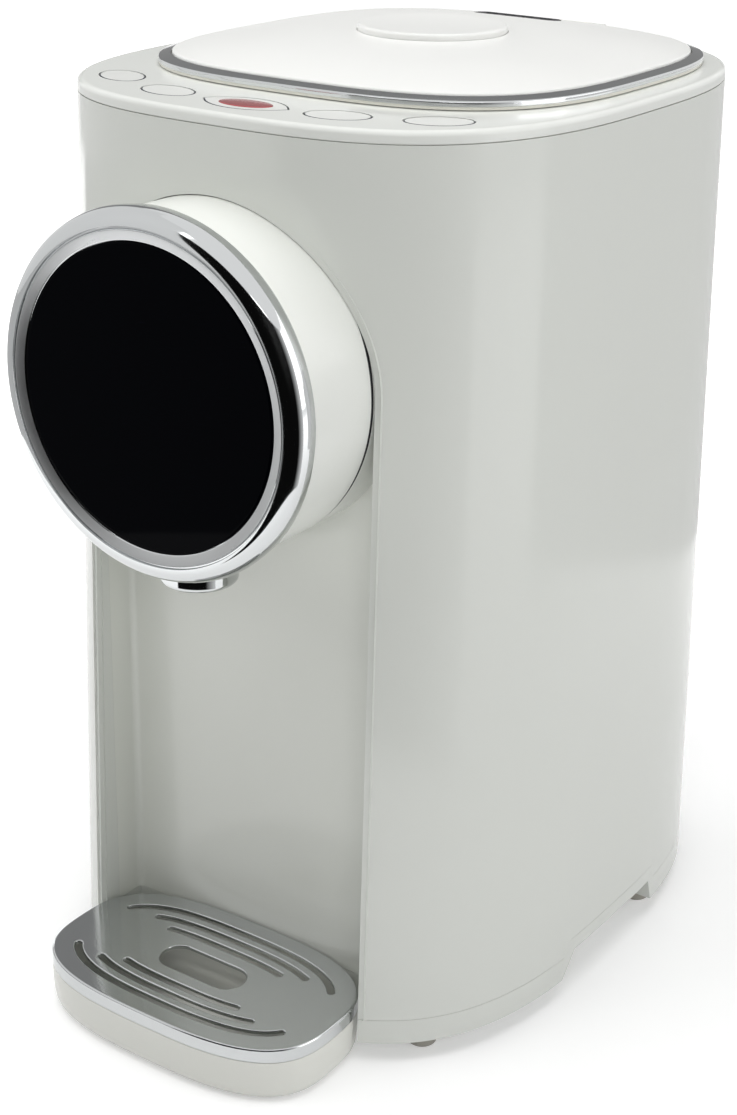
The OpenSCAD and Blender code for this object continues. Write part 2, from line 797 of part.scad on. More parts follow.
// Reaches of the bezel ring's features in front of the head shell
glass_seat = 7.9;
bezel_face = 11.4;
bezel_crest = 5.5;
groove_radius = glass_radius + 4.4;
sleeve_out = head_radius - head_wall - fit_gap / 2;
sleeve_in = sleeve_out - 2;
crest_run = bezel_radius - groove_radius - 0.7;
glass_gap = 0.15;

module bezel_ring() placed() color(chrome) head_revolve() translate([0, head_front]) polygon(concat(
  [[sleeve_in, -spigot_length], [sleeve_out, -spigot_length], [sleeve_out, 0], [bezel_radius - 1.6, 0],
    [bezel_radius - 0.5, 1.6]],
  [for (i = [0:8]) let (a = i * 90 / 8)
    [bezel_radius - crest_run + crest_run * cos(a), bezel_crest + (bezel_face - bezel_crest) * sin(a)]],
  [[groove_radius + 0.6, bezel_face - 0.9], [groove_radius, bezel_face - 0.9],
    [groove_radius - 0.4, bezel_face - 0.2], [glass_radius + glass_gap, glass_seat + glass_thick],
    [glass_radius + glass_gap, glass_seat], [glass_radius - 2.5, glass_seat],
    [glass_radius - 2.5, glass_seat - 1.4], [sleeve_in, glass_seat - 1.4]]));

module display_glass() placed() color(black)
  head_ring(glass_radius, 0, -head_front - glass_seat, -head_front - glass_seat - glass_thick);

carrier_front = 3.4;

module face_carrier() placed() color(white) {
  difference() {
    union() {
      head_ring(sleeve_in - 0.1, 0, -head_front - carrier_front + 2.4, -head_front - carrier_front);
      head_ring(sleeve_in - 0.1, sleeve_in - 2.4, -head_front - carrier_front + eps,
        -head_front - glass_seat + 1.4);
    }
    translate([0, 0, head_height]) rotate([90, 0, 0]) cylinder(r = 12, h = far);
  }
  for (a = [45:90:315]) translate([0, -head_front - carrier_front + eps, head_height]) rotate([90, 0, 0])
    rotate(a) translate([42, 0, 0]) cylinder(r = 3, h = 1.2);
}

module display_board() placed() color(board_green) {
  head_ring(glass_radius - 5, 0, -head_front - carrier_front - 1.2, -head_front - carrier_front - 2.8);
  for (x = [-18, 0, 18]) translate([x - 6, -head_front - glass_seat + 0.3, head_height - 4])
    cube([12, 1.5, 8]);
}

// ---- Top collar and keys ----

// Pointed oval where two equal discs cross
module eye(length, width) {
  radius = (length * length + width * width) / (4 * width);
  intersection_for (side = [-1, 1])
    translate([0, side * (radius - width / 2)]) circle(r = radius, $fn = 128);
}

module key_plan(index, grow = 0) {
  spot = key_spots[index];
  translate([spot[0], spot[1]]) rotate(spot[2])
    if (index == pour_key_index) eye(pour_key_length + 2 * grow, pour_key_width + 2 * grow);
    else polygon(rounded(key_length / 2 + grow, key_width / 2 + grow, 2, 48));
}

module key_solid(index, z0, z1, grow = 0) {
  translate([0, 0, z0]) linear_extrude(z1 - z0) key_plan(index, grow);
}

catch_half = 9;
latch_top = rim_height - 4.2;
latch_thick = 2.4;

module hinge_bar(x0, x1, r)
  translate([x0, hinge_y, hinge_z]) rotate([0, 90, 0]) cylinder(r = r, h = x1 - x0);

module hinge_ears() both_sides() {
  x0 = barrel_half + fit_gap;
  hinge_bar(x0, x0 + ear_length, barrel_radius);
  translate([x0, hinge_y - barrel_radius, rim_height - 1])
    cube([ear_length, 2 * barrel_radius, hinge_rise + 1]);
}

module top_collar() placed() color(white) difference() {
  union() {
    difference() {
      collar_form();
      drafted(collar_seam - 1, plate_under, casing_wall);
    }
    difference() {
      drafted(collar_seam - spigot_drop, plate_under + eps, casing_wall + fit_gap);
      drafted(collar_seam - spigot_drop - 1, plate_under, casing_wall + fit_gap + spigot_wall);
    }
    at_pot() {
      disc(well_radius + well_wall, ledge_top - ledge_thick, rim_height);
      disc(flange_radius - 2, ledge_top - ledge_thick, ledge_top);
    }
    for (p = post_spots) translate([p[0], p[1], 0]) disc(post_radius, board_top, plate_under + eps);
    hinge_ears();
  }
  at_pot() {
    disc(well_radius, ledge_top, far);
    disc(mouth_radius, 0, far);
  }
  for (i = [0:len(key_spots) - 1]) key_solid(i, plate_under - 1, rim_height + 1, fit_gap);
  hinge_bar(-barrel_half - fit_gap, barrel_half + fit_gap, barrel_radius + 0.4);
  hinge_bar(-far, far, hinge_pin_radius);
  translate([-catch_half - 1, pot_shift - well_radius - well_wall - 0.5, latch_top - latch_thick - 0.6])
    cube([2 * catch_half + 2, well_wall + 1.5, latch_thick + 1.2]);
}

board_inset = 7;
board_rear = well_radius + well_wall + 9 - pot_shift;

// Outline that the key board and its mat share
module board_slab(z0, z1, inset) difference() {
  intersection() {
    drafted(z0, z1, board_inset + inset);
    translate([-82 + inset, -far, z0 - 1]) cube([164 - 2 * inset, far - board_rear - inset, z1 - z0 + 2]);
  }
  for (p = post_spots) translate([p[0], p[1], 0]) disc(1, z0 - 1, z1 + 1);
}

module key_board() placed() color(board_green) board_slab(board_top - board_thick, board_top, 0);

module key_mat() placed() color(silicone) {
  difference() {
    board_slab(board_top, board_top + mat_thick, 1);
    for (p = post_spots) translate([p[0], p[1], 0])
      disc(post_radius + fit_gap, board_top - 1, board_top + 3);
  }
  for (p = key_spots) translate([p[0], p[1], 0])
    translate([0, 0, board_top + mat_thick - eps])
      cylinder(r1 = 4, r2 = 2.4, h = dome_top - board_top - mat_thick + eps);
}

module key_cap(index, shade) color(shade) {
  key_solid(index, plate_under - fit_gap - eps, rim_height);
  key_solid(index, plate_under - fit_gap - key_flange_thick, plate_under - fit_gap, key_flange);
  translate([key_spots[index][0], key_spots[index][1], 0])
    disc(2, stem_bottom, plate_under - fit_gap - key_flange_thick + eps);
}

module lock_key() placed() key_cap(0, white);

module warm_key() placed() key_cap(1, white);

inlay_thick = 1.2;

module inlay_solid(z0, z1) {
  spot = key_spots[pour_key_index];
  translate([spot[0], spot[1], z0]) linear_extrude(z1 - z0)
    polygon(rounded(inlay_length / 2, inlay_width / 2, 2, 48));
}

module pour_key() placed() difference() {
  key_cap(pour_key_index, white);
  inlay_solid(rim_height - inlay_thick, rim_height + 1);
}

module pour_inlay() placed() color(key_red) inlay_solid(rim_height - inlay_thick, rim_height);

module boil_key() placed() key_cap(3, white);

module timer_key() placed() key_cap(4, white);

// ---- Lid ----

plug_wall = 2.4;
step_thick = 2;
gasket_top = rim_height - gasket_drop;
plug_bottom = rim_height - plug_depth;
boss_top = plug_bottom + 12;
crown_power = 3.3;
cover_half_w = lid_width / 2 - trim_width - 0.2;
cover_half_d = lid_depth / 2 - trim_width - 0.2;
lid_screw_head = 0.9;
lid_screw_spots = [for (y = [0.66, -0.55], x = [0.68, -0.68]) [x * cover_half_w, y * cover_half_d]];

module at_lid_screws() at_lid() for (p = lid_screw_spots) translate([p[0], p[1], 0]) children();

module lid_liner() placed() color(white) difference() {
  union() {
    at_lid() slab(lid_width / 2 - 0.3, lid_depth / 2 - 0.3, lid_squareness, lid_seat, trim_seat);
    at_pot() {
      disc(plug_radius, gasket_top, lid_seat + eps);
      disc(plug_nose_radius, plug_bottom, gasket_top + eps);
    }
    translate([-catch_half - 2.3, pot_shift - plug_nose_radius + 8, plug_bottom + 1])
      cube([2 * catch_half + 4.6, 16, latch_top - plug_bottom - 1]);
    hinge_bar(-barrel_half, barrel_half, barrel_radius);
    translate([-barrel_half, hinge_y - 8, lid_seat]) cube([2 * barrel_half, 8, lid_rim]);
  }
  difference() {
    at_pot() {
      disc(plug_radius - plug_wall, gasket_top + step_thick, far);
      disc(plug_nose_radius - plug_wall, plug_bottom + 2, far);
    }
    at_knob() disc(stem_radius + 3.4, plug_bottom, boss_top);
    translate([-catch_half - 2.3, pot_shift - plug_nose_radius + 8, plug_bottom + 1])
      cube([2 * catch_half + 4.6, 16, latch_top - plug_bottom - 1]);
  }
  at_knob() disc(stem_radius + running_gap, plug_bottom + 2, far);
  hinge_bar(-far, far, hinge_pin_radius + running_gap);
  at_pot() for (a = [60, 90, 120]) rotate(a)
    translate([50, 0, 0]) disc(2.5, plug_bottom - 1, plug_bottom + 3);
  at_lid_screws() {
    disc(screw_radius + running_gap, lid_seat - 1, trim_seat + 1);
    disc(screw_head_radius + fit_gap, lid_seat - 1, lid_seat + lid_screw_head);
  }
  translate([-catch_half - fit_gap, pot_shift - plug_radius - 1, latch_top - latch_thick - fit_gap])
    cube([2 * (catch_half + fit_gap), 40, latch_thick + 2 * fit_gap]);
}

module lid_gasket() placed() color(dark_grey) at_pot()
  ring(well_radius - 2, plug_nose_radius, ledge_top + fit_gap, gasket_top);

module lid_trim() placed() color(chrome) at_lid() difference() {
  slab(lid_width / 2, lid_depth / 2, lid_squareness, trim_seat, trim_top);
  slab(lid_width / 2 - trim_width, lid_depth / 2 - trim_width, lid_squareness, trim_seat - 1, trim_top + 1);
}

// Crowned solid that follows the lid's outline
module crown(inset, z_edge, z_top) {
  a = cover_half_w - inset;
  b = cover_half_d - inset;
  hull() {
    slab(a, b, lid_squareness, trim_seat, z_edge);
    for (f = [0.97, 0.92, 0.84, 0.72, 0.56, 0.36])
      slab(a * f, b * f, lid_squareness, z_edge, z_edge + (z_top - z_edge) * (1 - pow(f, crown_power)));
    disc(1, z_edge, z_top);
  }
}

module lid_cavity() at_lid() translate([0, 0, -eps])
  crown(lid_wall, cover_edge - lid_wall + 1, crown_top - lid_wall);

module lid_cover() placed() color(white) difference() {
  union() {
    difference() {
      at_lid() crown(0, cover_edge, crown_top);
      lid_cavity();
    }
    at_lid_screws() disc(3.4, trim_seat, cover_edge + 1.6);
  }
  at_knob() disc(knob_radius + fit_gap, trim_seat - 1, far);
  vent_slot(vent_half + 0.1, vent_half_width + 0.1, trim_seat - 1, far);
  at_lid_screws() disc(screw_radius, trim_seat - 1, trim_seat + 2);
}

module lid_screws() placed() color(steel) at_lid_screws() screw(lid_seat, 2.6, lid_screw_head);

// Long round-ended vent outline
module vent_slot(half, half_width, z0, z1) translate([0, vent_shift, z0]) linear_extrude(z1 - z0) {
  square([2 * (half - half_width), 2 * half_width], center = true);
  both_sides() translate([half - half_width, 0]) circle(r = half_width);
}

vent_top = crown_top - 2;
vent_slits = 4;

module steam_vent() placed() color(dark_grey) difference() {
  union() {
    vent_slot(vent_half, vent_half_width, vent_top - 4, vent_top);
    intersection() {
      vent_slot(vent_half + 1.5, vent_half_width + 1.5, vent_top - 4, vent_top);
      lid_cavity();
    }
  }
  for (i = [0:vent_slits - 1]) translate([(i - (vent_slits - 1) / 2) * 8.4, vent_shift, 0])
    translate([-3, -2.2, vent_top - 6]) cube([6, 1.4, 8]);
  for (i = [0:vent_slits - 1]) translate([(i - (vent_slits - 1) / 2) * 8.4, vent_shift, 0])
    translate([-3, 0.8, vent_top - 6]) cube([6, 1.4, 8]);
}

knob_flange_top = crown_top - lid_wall - 1.1;
knob_flange_bottom = knob_flange_top - 2;
knob_dish = 0.8;
knob_ceiling = knob_top - 3.2;
knob_round = 1.4;
stem_end = boss_top - 6;
pin_height = latch_top + 6;
pin_radius = 1.2;
leg_x = 8.9;
leg_width = 1.6;
cheek_width = 2.4;
cheek_x = leg_x + leg_width + 0.4;

module lid_knob() placed() color(white) at_knob() {
  rotate_extrude($fn = 96) polygon(concat(
    [[0, stem_end], [stem_radius, stem_end], [stem_radius, knob_ceiling],
      [knob_radius - 2, knob_ceiling], [knob_radius - 2, knob_flange_bottom],
      [knob_radius + 1.8, knob_flange_bottom], [knob_radius + 1.8, knob_flange_top],
      [knob_radius, knob_flange_top]],
    [for (i = [0:6]) let (a = i * 15)
      [knob_radius + knob_round * (cos(a) - 1), knob_top + knob_round * (sin(a) - 1)]],
    [for (i = [0:8]) let (f = 1 - i / 8, r = knob_radius - knob_round - 1)
      [r * f, knob_top - knob_dish * (1 - f * f)]]));
  both_sides() {
    translate([leg_x, -3, pin_height - 2]) cube([leg_width, 6, knob_ceiling + eps - pin_height + 2]);
    translate([leg_x, 0, pin_height]) rotate([0, 90, 0])
      cylinder(r = pin_radius, h = leg_width + cheek_width + 0.4);
  }
}

// Helical spring: points round the wire at each step along the coil
spring_steps = 16;
spring_sides = 8;
spring_radius = stem_radius + wire_radius + 1;
spring_bottom = boss_top;
spring_top = knob_ceiling;
spring_rise = spring_top - spring_bottom - 2 * wire_radius;

function coil_point(i, j) =
  let (n = spring_turns * spring_steps, a = 360 * i / spring_steps, b = 360 * j / spring_sides,
    r = spring_radius + wire_radius * cos(b))
  [r * cos(a), r * sin(a), spring_bottom + wire_radius + spring_rise * i / n + wire_radius * sin(b)];

module knob_spring() placed() color(steel) at_knob() {
  n = spring_turns * spring_steps;
  m = spring_sides;
  polyhedron(
    points = [for (i = [0:n]) for (j = [0:m - 1]) coil_point(i, j)],
    faces = concat(
      [[for (j = [0:m - 1]) j]],
      [for (i = [0:n - 1]) for (j = [0:m - 1])
        [i * m + j, (i + 1) * m + j, (i + 1) * m + (j + 1) % m, i * m + (j + 1) % m]],
      [[for (j = [m - 1:-1:0]) n * m + j]]));
}

latch_nose = pot_shift - well_radius + 0.55;
yoke_half = cheek_x + cheek_width;

module lid_latch() placed() color(dark_grey) {
  difference() {
    union() {
      translate([-catch_half, latch_nose, latch_top - latch_thick])
        cube([2 * catch_half, knob_shift - latch_nose - 14, latch_thick]);
      at_knob() translate([-yoke_half, -18, latch_top - latch_thick]) cube([2 * yoke_half, 30, latch_thick]);
    }
    at_knob() hull() for (d = [0, knob_travel]) translate([0, -d, 0])
      disc(spring_radius + wire_radius + 0.6, latch_top - latch_thick - 1, latch_top + 1);
  }
  at_knob() both_sides() side_extrude(cheek_x, yoke_half) difference() {
    translate([-6.5, latch_top - eps]) square([10, pin_height + 3 - latch_top]);
    hull() for (d = [0, knob_travel]) translate([-d, pin_height - d]) circle(r = pin_radius + fit_gap);
  }
}

module hinge_pin() placed() color(steel)
  hinge_bar(-barrel_half - fit_gap - ear_length, barrel_half + fit_gap + ear_length, hinge_pin_radius);

// ---- Drip tray ----

tray_bottom = 0.8;
tray_floor = 2.4;
dish_top = tray_height - grille_band;
upstand = 2.6;
slot_insets = [9.6, 9.6 + slot_step, 9.6 + 2 * slot_step];
slot_ends = [14.5, 16, 12.1];

module tray_slab(inset, z0, z1)
  slab(tray_width / 2 - inset, tray_depth / 2 - inset, tray_squareness, z0, z1);

module drip_tray() placed() color(white) {
  at_tray() difference() {
    union() {
      hull() {
        tray_slab(2.4, tray_bottom, tray_bottom + 1);
        tray_slab(0, tray_bottom + 3.4, dish_top - 1);
      }
      tray_slab(0, dish_top - 1.5, dish_top);
      tray_slab(grille_plate + fit_gap, dish_top - 1, dish_top + upstand);
    }
    tray_slab(grille_plate + fit_gap + tray_wall - 0.8, tray_bottom + tray_floor, far);
  }
  difference() {
    translate([-tongue_half, -niche_back - 4, tongue_z])
      cube([2 * tongue_half, 4 + tongue_length, tongue_thick]);
    at_tray() tray_slab(1, 0, far);
  }
}

// Part of a slot ring in front of or behind the grille's closed middle
module slot_track(inset, ends) {
  difference() {
    tray_slab(inset - slot_width / 2, dish_top, tray_height + 1);
    tray_slab(inset + slot_width / 2, dish_top - 1, tray_height + 2);
    translate([-far / 2, -ends, 0]) cube([far, 2 * ends, far]);
  }
}

hole_half = 20;
hole_radius = 7.8;

module drip_grille() placed() color(chrome) at_tray() difference() {
  tray_slab(0, dish_top, tray_height);
  tray_slab(grille_plate, dish_top - 1, tray_height - grille_plate);
  for (i = [0:len(slot_insets) - 1]) slot_track(slot_insets[i], slot_ends[i]);
  translate([0, 0, dish_top]) linear_extrude(20) {
    square([2 * (hole_half - hole_radius), 2 * hole_radius], center = true);
    both_sides() translate([hole_half - hole_radius, 0]) circle(r = hole_radius);
  }
}

outer_casing();
niche_liner();
base_cover();
feet();
base_screws();
power_inlet();
inlet_pins();
main_board();
pot_stand();
inner_pot();
insulation_jacket();
pot_gasket();
heater_plate();
heating_element();
thermostat();
temperature_sensor();
pump_housing();
pump_backplate();
pump_impeller();
motor_shaft();
pump_motor();
suction_hose();
riser_hose();
spout_tube();
nozzle();
head_neck();
neck_screws();
head_shell();
face_carrier();
bezel_ring();
display_glass();
display_board();
top_collar();
key_board();
key_mat();
lock_key();
warm_key();
pour_key();
pour_inlay();
boil_key();
timer_key();
lid_liner();
lid_gasket();
lid_trim();
lid_cover();
lid_screws();
steam_vent();
lid_knob();
knob_spring();
lid_latch();
hinge_pin();
drip_tray();
drip_grille();
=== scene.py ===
# %% [markdown]
# # An electric thermo pot
# This file dresses a finished CAD model of a water boiler and dispenser: a tall white body with a round
# head, a bright ring round its black glass, a drip tray under the spout and a lid on top. The CAD model gives
# every size and joint. Here each outer piece is modelled again with smooth curves and rounded edges, and
# every piece gets its finish. Sizes are in millimetres until a piece is put into the frame, which has metres.

# %% Load the frame
import math

import bmesh
import bpy
from mathutils import Matrix, Vector


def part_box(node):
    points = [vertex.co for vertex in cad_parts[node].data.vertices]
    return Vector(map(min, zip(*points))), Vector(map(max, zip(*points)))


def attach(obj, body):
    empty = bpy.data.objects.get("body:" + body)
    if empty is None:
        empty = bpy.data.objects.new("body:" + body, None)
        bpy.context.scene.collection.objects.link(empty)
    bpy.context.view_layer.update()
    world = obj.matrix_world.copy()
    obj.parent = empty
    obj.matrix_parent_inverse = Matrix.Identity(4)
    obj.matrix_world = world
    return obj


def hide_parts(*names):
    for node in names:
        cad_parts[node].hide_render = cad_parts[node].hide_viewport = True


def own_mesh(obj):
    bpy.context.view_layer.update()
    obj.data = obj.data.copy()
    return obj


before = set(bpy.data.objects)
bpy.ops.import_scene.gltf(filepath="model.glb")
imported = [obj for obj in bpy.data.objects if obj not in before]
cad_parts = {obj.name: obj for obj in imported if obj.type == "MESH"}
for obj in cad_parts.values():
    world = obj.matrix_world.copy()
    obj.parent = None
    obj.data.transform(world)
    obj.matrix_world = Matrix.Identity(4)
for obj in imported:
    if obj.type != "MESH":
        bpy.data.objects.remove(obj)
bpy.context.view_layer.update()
MM = 0.001

# %% [markdown]
# ## The sizes that everything hangs on
# The heights of the seams could be typed in, but then they would drift from the CAD model, so they are read
# from its nodes. So is the middle of the body, because the frame's origin is under body and tray together.

# %% Read the heights and the middle from the frame
casing_low, casing_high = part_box("outer_casing")
trim_low, trim_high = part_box("lid_trim")
LID_SHIFT = 16.4
middle_y = (trim_low.y + trim_high.y) / 2 - LID_SHIFT * MM
TO_FRAME = Matrix.Translation((0, middle_y, 0)) @ Matrix.Scale(MM, 4)
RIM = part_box("pour_key")[1].z / MM
FOOT_TOP = 8.6
BASE_SEAM, COLLAR_SEAM = casing_low.z / MM, casing_high.z / MM
SEAM_GAP = 0.08
print("rim", round(RIM, 2), "seams", round(BASE_SEAM, 2), round(COLLAR_SEAM, 2))

# %% [markdown]
# ## The outline of the body
# Seen from above, the body is a superellipse: a rounded rectangle with one exponent that says how square it
# is. Arcs and straight lines would show a break where they meet, and this curve has none. The walls lean, so
# both half sizes grow towards the ground.

# %% The leaning walls and their outline
SQUARENESS = 2.97
RIM_HALF_WIDTH, WIDTH_GAIN = 105, 5.1
RIM_HALF_DEPTH, DEPTH_GAIN = 121.3, 10.2


def half_width(z):
    return RIM_HALF_WIDTH + WIDTH_GAIN * (RIM - z) / RIM


def half_depth(z):
    return RIM_HALF_DEPTH + DEPTH_GAIN * (RIM - z) / RIM


def outline_point(a, b, power, turn):
    """Point of a superellipse at a turn in radians, 0 towards +X."""
    c, s = math.cos(turn), math.sin(turn)
    reach = (abs(c) ** power + abs(s) ** power) ** (-1 / power)
    return a * reach * c, b * reach * s


def ring(a, b, power, y, z, steps):
    """Closed superellipse of points round a middle at y, at one height."""
    turns = (2 * math.pi * k / steps for k in range(steps))
    return [Vector((*outline_point(a, b, power, t), z)) + Vector((0, y, 0)) for t in turns]


print("foot of the walls", round(2 * half_width(0), 1), "by", round(2 * half_depth(0), 1))

# %% [markdown]
# ## Two ways to make a skin
# Most shells are swept: one row of points is extruded again and again, and each new row is put where the
# shape wants it. Round pieces are turned on a lathe instead, which in Blender is the spin operator. Both keep
# neat rows of four-sided faces, so light runs over them without dents.


# %% Sweep a row of points through the rows that follow it
def grow(bm, edges):
    """Extrudes edges and returns the new corners and the new edges."""
    made = bmesh.ops.extrude_edge_only(bm, edges=edges)["geom"]
    return [[g for g in made if isinstance(g, kind)] for kind in (bmesh.types.BMVert, bmesh.types.BMEdge)]


def sweep(bm, rows, closed=True):
    """Extrudes the first row through all the others and returns the edges of the first and the last one."""
    column = bm.verts.layers.int.get("column") or bm.verts.layers.int.new("column")
    if closed:
        made = bmesh.ops.create_circle(bm, cap_ends=False, radius=1, segments=len(rows[0]))["verts"]
        edges = list(dict.fromkeys(e for v in made for e in v.link_edges))
    else:
        made = [bm.verts.new(p) for p in rows[0]]
        edges = [bm.edges.new(pair) for pair in zip(made, made[1:])]
    for place, vertex in enumerate(made):
        vertex.co, vertex[column] = rows[0][place], place
    first = edges
    for row in rows[1:]:
        corners, edges = grow(bm, edges)
        for vertex in corners:
            vertex.co = row[vertex[column]]
    return first, edges


# %% Turn a profile on the lathe
def lathe(bm, profile, centre, axis, steps):
    """Turns a closed profile of points once round an axis."""
    verts = [bm.verts.new(p) for p in profile]
    edges = [bm.edges.new(pair) for pair in zip(verts, verts[1:] + verts[:1])]
    bmesh.ops.spin(
        bm, geom=verts + edges, cent=centre, axis=axis, angle=2 * math.pi, steps=steps, use_merge=True
    )


def turn_upright(bm, points, y, steps):
    """Turns points of radius and height round an upright axis at y."""
    centre = Vector((0, y, 0))
    lathe(bm, [centre + Vector((r, 0, z)) for r, z in points], centre, (0, 0, 1), steps)


def quarter(radius, top, degrees=range(0, 91, 15)):
    """Quarter circle from a wall up to a flat top, as points of reach inwards and height."""
    turns = [math.radians(d) for d in degrees]
    return [(radius * (1 - math.cos(a)), top - radius + radius * math.sin(a)) for a in turns]


# %% [markdown]
# ## Small tools for every piece
# The same few operators come back on most pieces, and each gets a short name here. Edges are softened with a
# bevel and not with a subdivision surface, because a bevel leaves the rest of the shape as exact as it was.


# %% Merge, close and fill
def merge(bm, distance=0.002):
    bmesh.ops.remove_doubles(bm, verts=bm.verts, dist=distance)


def face_outwards(bm):
    bmesh.ops.recalc_face_normals(bm, faces=bm.faces)


def face_along(bm, face, direction):
    """Turns all faces alike, so that the given one looks along the direction."""
    face_outwards(bm)
    if face.normal.dot(Vector(direction)) < 0:
        bmesh.ops.reverse_faces(bm, faces=bm.faces)


def close(bm, *loops):
    for loop in loops:
        bmesh.ops.contextual_create(bm, geom=loop)


def fill_flat(bm, edges, up):
    bmesh.ops.triangle_fill(bm, edges=edges, use_beauty=True, use_dissolve=False, normal=(0, 0, up))


def split_large_faces(bm):
    bmesh.ops.triangulate(bm, faces=[f for f in bm.faces if len(f.verts) > 4])


def faces_at(bm, test):
    """Faces whose middle passes a test."""
    return [f for f in bm.faces if test(f.calc_center_median())]


# %% Soften edges, and add blocks and rods
def soften(bm, edges, offset, segments):
    bmesh.ops.bevel(
        bm, geom=edges, offset=offset, offset_type="OFFSET", affect="EDGES", segments=segments,
        profile=0.5, material=-1, clamp_overlap=True,
    )


def round_edges(bm, offset, segments=2, angle=50, only=lambda edge: True):
    """Softens every edge that folds by more than the angle."""
    limit = math.radians(angle)
    folds = [e for e in bm.edges if e.is_manifold and e.calc_face_angle(0) > limit and only(e)]
    soften(bm, folds, offset, segments)


def block(bm, size, place):
    corners = bmesh.ops.create_cube(bm, size=1)["verts"]
    bmesh.ops.scale(bm, vec=size, verts=corners)
    bmesh.ops.translate(bm, vec=place, verts=corners)


def rod(bm, radii, length, place, segments, level=False):
    """Closed rod with a lower and an upper radius, standing or lying along X."""
    turn = Matrix.Rotation(math.pi / 2, 4, "Y") if level else Matrix.Identity(4)
    bmesh.ops.create_cone(
        bm, cap_ends=True, segments=segments, radius1=radii[0], radius2=radii[1], depth=length,
        matrix=Matrix.Translation(place) @ turn,
    )


# %% [markdown]
# ## The finishes
# Each finish is a small node tree. Moulded plastic has a soft sheen whose roughness drifts a little and whose
# skin is faintly uneven. Plated metal is a mirror with the slightest waves. Flat colours would be quicker but
# look like paint. The grain reads Object coordinates, so it is in real metres and stays put.


# %% Set and link shader nodes
def dial(node, values):
    """Sets sockets of a shader node, each to a value or to the output that feeds it."""
    for name, value in values.items():
        if isinstance(value, bpy.types.NodeSocket):
            node.id_data.links.new(value, node.inputs[name])
        else:
            node.inputs[name].default_value = value
    return node


def add(nodes, kind, values):
    return dial(nodes.new("ShaderNode" + kind), values)


def blank_finish(name):
    """New material, with its nodes and its main shader."""
    made = bpy.data.materials.new(name)
    made.use_nodes = True
    nodes = made.node_tree.nodes
    return made, nodes, nodes["Principled BSDF"]


# %% Build one finish
COAT_ROUGHNESS, RELIEF_DEPTH = 0.06, 0.0004


def finish(name, colour, roughness, metallic, grain, drift, bump, bump_grain, tint,
           coat=0.0, stretch=(1, 1, 1), shine=0.5):
    """Material with noise in its colour, its roughness and its surface."""
    made, nodes, shader = blank_finish(name)
    place = add(nodes, "TexCoord", {}).outputs["Object"]
    place = add(nodes, "Mapping", {"Vector": place, "Scale": stretch}).outputs["Vector"]
    cloud = add(nodes, "TexNoise", {"Vector": place, "Scale": grain, "Detail": 4}).outputs["Fac"]
    skin = add(nodes, "TexNoise", {"Vector": place, "Scale": bump_grain, "Detail": 2}).outputs["Fac"]
    shade = nodes.new("ShaderNodeMix")
    shade.data_type = "RGBA"
    dark, light = ([min(1, c * (1 + way * tint)) for c in colour] for way in (-1, 1))
    dial(shade, {"Factor": cloud, "A": (*dark, 1), "B": (*light, 1)})
    rough = add(nodes, "MapRange", {"Value": cloud, "To Min": roughness - drift, "To Max": roughness + drift})
    relief = add(nodes, "Bump", {"Height": skin, "Strength": bump, "Distance": RELIEF_DEPTH})
    dial(shader, {
        "Base Color": shade.outputs["Result"], "Roughness": rough.outputs["Result"], "Metallic": metallic,
        "Normal": relief.outputs["Normal"], "Specular IOR Level": shine, "Coat Weight": coat,
        "Coat Roughness": COAT_ROUGHNESS,
    })
    return made


